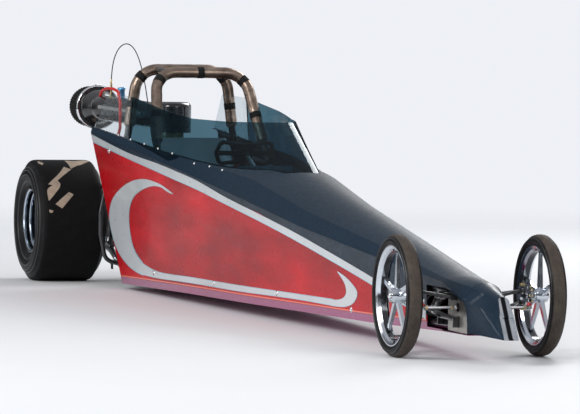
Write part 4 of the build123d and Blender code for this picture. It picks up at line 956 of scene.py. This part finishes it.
# Fittings on the duct: red vent pipe to a breather, pale blue cap and the cable's ferrule
VENT_PIPE = [(5736, -300, 1072), (5692, -300, 1103), (5571, -300, 1120), (5471, -290, 1118), (5412, -280, 1107),
             (5385, -272, 1050), (5385, -270, 900), (5435, -296, 740), (5470, -302, 655)]
tubes("vent_pipe", [rounded([spot(*point) for point in VENT_PIPE], 0.03, 0.006)], 0.0085, "red", count=16)
BLUE_CAP = [(0.018, -0.055), (0.018, 0.0), (0.022, 0.001), (0.022, 0.017), (0.019, 0.020), (0.0001, 0.020)]
turned_set("blue_filler_cap", BLUE_CAP, [((at(5620), -0.204, 1.105), (0, -0.1, 1))], "blue_cap", count=20)
FERRULE = [(0.0044, -0.020), (0.0052, -0.018), (0.0052, -0.004), (0.0065, -0.003), (0.0065, 0.004),
           (0.0052, 0.005), (0.0052, 0.022), (0.0036, 0.026)]
turned_set("cable_ferrule", FERRULE, [((at(5650), -0.258, 1.145), (0, 0, 1))], "brass", count=16)


# Engine: bolts, plugs and covers on each bank
BANK_ANGLE = 45
BLOCK_BACK = 5530
CRANK_Z = 0.35


def bank_axis(side, across, out):
    """Direction on a cylinder bank, by its parts across it and out from the crank."""
    a = math.radians(BANK_ANGLE * side)
    return Vector((0, across * math.cos(a) + out * math.sin(a), -across * math.sin(a) + out * math.cos(a)))


def on_bank(along, across, out, side):
    """Point on a cylinder bank: mm ahead of the block's back, across it and out from the crank."""
    a = math.radians(BANK_ANGLE * side)
    x = at(BLOCK_BACK) + along / 1000
    y, z = across / 1000, out / 1000
    return Vector((x, y * math.cos(a) + z * math.sin(a), CRANK_Z - y * math.sin(a) + z * math.cos(a)))


HEAD_BOLT = [(0.0075, -0.001), (0.0075, 0.007), (0.006, 0.0085), (0.0001, 0.0085)]
PLUG = [(0.0095, -0.002), (0.0095, 0.006), (0.006, 0.008), (0.006, 0.026), (0.0045, 0.030), (0.0001, 0.031)]
BREATHER = [(0.016, -0.002), (0.016, 0.010), (0.026, 0.012), (0.026, 0.038), (0.022, 0.043), (0.0001, 0.044)]
RIB = ((-1, -0.003), (-0.6, 0.0015), (0.6, 0.0015), (1, -0.003))
RIB_FACES = ((0, 1, 5, 4), (1, 2, 6, 5), (2, 3, 7, 6), (0, 1, 2, 3), (4, 7, 6, 5))


def engine_fittings():
    bolts, plugs, caps, ribs = [], [], [], []
    for side in SIDES:
        out = bank_axis(side, 0, 1)
        outer = bank_axis(side, side, 0)
        across = bank_axis(side, 1, 0) * 0.0022
        bolts += [(on_bank(24 + n * 92, edge, 318, side), out) for n in range(6) for edge in (-67, 67)]
        plugs += [(on_bank(70 + n * 117, side * 75, 296, side), outer) for n in range(4)]
        caps += [(on_bank(along, 0, 391, side), out) for along in (60, 440)]
        for n in range(9):
            ends = [on_bank(along, -40 + n * 10, 392.6, side) for along in (70, 430)]
            ribs.append(([end + across * shift + out * lift for end in ends for shift, lift in RIB], RIB_FACES))
    turned_set("head_bolts", HEAD_BOLT, bolts, "steel", count=6, smooth=False)
    turned_set("spark_plugs", PLUG, plugs, "mark", count=12)
    turned_set("breather_caps", BREATHER, caps, "gloss", count=24)
    piece("valve_cover_ribs", *joined(ribs), "polished")


engine_fittings()


# Dials behind the dash, without figures, as (place across, radius)
DIALS = ((-0.092, 0.032), (0, 0.038), (0.092, 0.032))
DIAL_X = at(3400) - 0.0125
DIAL_Z = 0.7182
FIRST_MARK = -130
MARK_STEP = 26
MARKS = 11


def dial_bar(store, x, y, z, angle, inner, outer, width):
    """Thin bar that points away from a dial's middle."""
    verts, faces = store
    along, across = Vector((0, math.sin(angle), math.cos(angle))), Vector((0, math.cos(angle), -math.sin(angle)))
    base = len(verts)
    middle = Vector((x, y, z))
    for depth in (0, -0.0006):
        for r, w in ((inner, -1), (outer, -1), (outer, 1), (inner, 1)):
            verts.append(middle + along * r + across * width * w + Vector((depth, 0, 0)))
    faces += [(base + 4, base + 5, base + 6, base + 7), (base, base + 3, base + 2, base + 1)]
    faces += [(base + k, base + (k + 1) % 4, base + 4 + (k + 1) % 4, base + 4 + k) for k in range(4)]


def dials():
    marks, needles = ([], []), ([], [])
    x, z = DIAL_X, DIAL_Z
    for n, (y, r) in enumerate(DIALS):
        place = [((x, y, z), (-1, 0, 0))]
        face = [(r * 0.93, 0.0), (r * 0.93, 0.001), (0.0001, 0.001)]
        rim = [(r, -0.003), (r, 0.004), (r * 0.97, 0.0055), (r * 0.92, 0.004), (r * 0.92, 0.0)]
        turned_set(f"dial_face_{n}", face, place, "dial", count=40)
        turned_set(f"dial_bezel_{n}", rim, place, "polished", count=40)
        for k in range(MARKS):
            angle = math.radians(FIRST_MARK + MARK_STEP * k)
            dial_bar(marks, x - 0.0016, y, z, angle, r * 0.72, r * 0.86, 0.0009)
        dial_bar(needles, x - 0.0024, y, z, math.radians(FIRST_MARK + 1000 * r), -r * 0.15, r * 0.7, 0.0011)
    piece("dial_marks", *marks, "mark")
    piece("dial_needles", *needles, "red")


dials()

# Dark tape over the joint between the smoked screen and the clear rear window
JOINT_AFT = (4893, 4905, 4917)
JOINT_FOOT_Z = 0.872
JOINT_TOP_Z = 1.084
JOINT_ROWS = 15
JOINT_PROUD = 0.0008


def screen_joint():
    skins = [surface_of("windscreen"), surface_of("rear_side_windows")]
    verts, faces = [], []
    for side in SIDES:
        rows = []
        for k in range(JOINT_ROWS):
            z = JOINT_FOOT_Z + (JOINT_TOP_Z - JOINT_FOOT_Z) * k / (JOINT_ROWS - 1)
            hits = [hit[0] for aft in JOINT_AFT for hit in hits_from_side(skins, aft, z, side, 0.1)]
            if hits:
                wide = max(hit.y * side for hit in hits)
                rows.append([Vector((at(aft), side * (wide + JOINT_PROUD), z)) for aft in JOINT_AFT])
        base = len(verts)
        for row in rows:
            verts += row
        for i in range(len(rows) - 1):
            for k in range(2):
                q = (base + i * 3 + k, base + i * 3 + k + 1, base + i * 3 + k + 4, base + i * 3 + k + 3)
                faces.append(q if side > 0 else q[::-1])
    piece("screen_joint_tape", verts, faces, "seam")


screen_joint()


# Throttle cable, with the frame's own route
CABLE_ROUTE = [(5650, -258, 1150), (5646, -257, 1215), (5616, -253, 1288), (5552, -246, 1344), (5470, -237, 1374),
               (5384, -227, 1377), (5302, -217, 1352), (5236, -207, 1298), (5190, -197, 1224), (5160, -187, 1142),
               (5140, -178, 1056), (5124, -170, 970), (5106, -164, 888), (5078, -158, 812), (5030, -153, 758),
               (4976, -150, 730)]


def throttle_cable():
    data = bpy.data.curves.new("throttle_cable_sleeve", "CURVE")
    data.dimensions = "3D"
    spline = data.splines.new("NURBS")
    spline.points.add(len(CABLE_ROUTE) - 1)
    for point, (aft, y, z) in zip(spline.points, CABLE_ROUTE):
        point.co = (*spot(aft, y, z), 1)
    spline.order_u = 3
    spline.use_endpoint_u = True
    data.bevel_depth = 0.003
    data.bevel_resolution = 4
    data.materials.append(MATERIALS["rubber"])
    cable = added("throttle_cable_sleeve", data)
    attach(cable, "chassis")
    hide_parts("throttle_cable")
    aft, y, z = CABLE_ROUTE[0]


throttle_cable()


# Stage
FLOOR_FADE = (3.6, 14.0)
FLOOR_REACH = 15


def stage():
    """Pale floor that fades into the even backdrop of the world."""
    floor = new_material("studio_floor")
    floor.set(Base_Color=floor.mix(floor.noise(0.8), (0.72, 0.73, 0.74), (0.76, 0.77, 0.78)), Roughness=0.65)
    x, y, _ = floor.split()
    clear = floor.tree.nodes.new("ShaderNodeBsdfTransparent")
    fade = floor.tree.nodes.new("ShaderNodeMixShader")
    floor.link(floor.ranged(floor.hypot(x, y), *FLOOR_FADE, smooth=True), fade.inputs[0])
    floor.tree.links.new(floor.bsdf.outputs[0], fade.inputs[1])
    floor.tree.links.new(clear.outputs[0], fade.inputs[2])
    floor.tree.links.new(fade.outputs[0], floor.tree.nodes["Material Output"].inputs["Surface"])
    mesh = bpy.data.meshes.new("studio_floor")
    corners = [(x * FLOOR_REACH, y * FLOOR_REACH, 0) for x, y in ((-1, -1), (1, -1), (1, 1), (-1, 1))]
    mesh.from_pydata(corners, [], [(0, 1, 2, 3)])
    mesh.materials.append(floor.owner)
    obj = added("studio_floor", mesh)


def backdrop():
    """Even pale world, which mirrors see darker toward the horizon."""
    world = Nodes(bpy.data.worlds.new("studio"), "Generated")
    bpy.context.scene.world = world.owner
    path = world.tree.nodes.new("ShaderNodeLightPath").outputs
    seen = world.math("MAXIMUM", path["Is Camera Ray"], path["Is Transmission Ray"])
    _, _, height = world.split()
    mirrored = world.ranged(height, 0.08, 0.55, 0.03, 0.5)
    unseen = world.ranged(path["Is Glossy Ray"], 0, 1, 0.55, mirrored)
    back = world.tree.nodes["Background"]
    world.link((0.93, 0.95, 1.0), back.inputs["Color"])
    world.link(world.ranged(seen, 0, 1, unseen, 0.92), back.inputs["Strength"])


def lamps():
    for name, place, aim, size, energy in (
        ("key", (6, -9, 7), (0.2, 0, 0.4), 5, 900),
        ("fill", (10, 4, 4), (1, 0, 0.4), 5, 260),
        ("rim", (-7, 6, 6), (-1, 0, 0.5), 4, 500),
        ("side", (-3, -9, 2.2), (-1.5, 0, 0.6), 4, 150),
    ):
        data = bpy.data.lights.new(name, "AREA")
        data.size = size
        data.energy = energy
        lamp = added(name, data)
        lamp.location = place
        lamp.rotation_euler = (Vector(aim) - Vector(place)).to_track_quat("-Z", "Y").to_euler()


stage()
backdrop()
lamps()
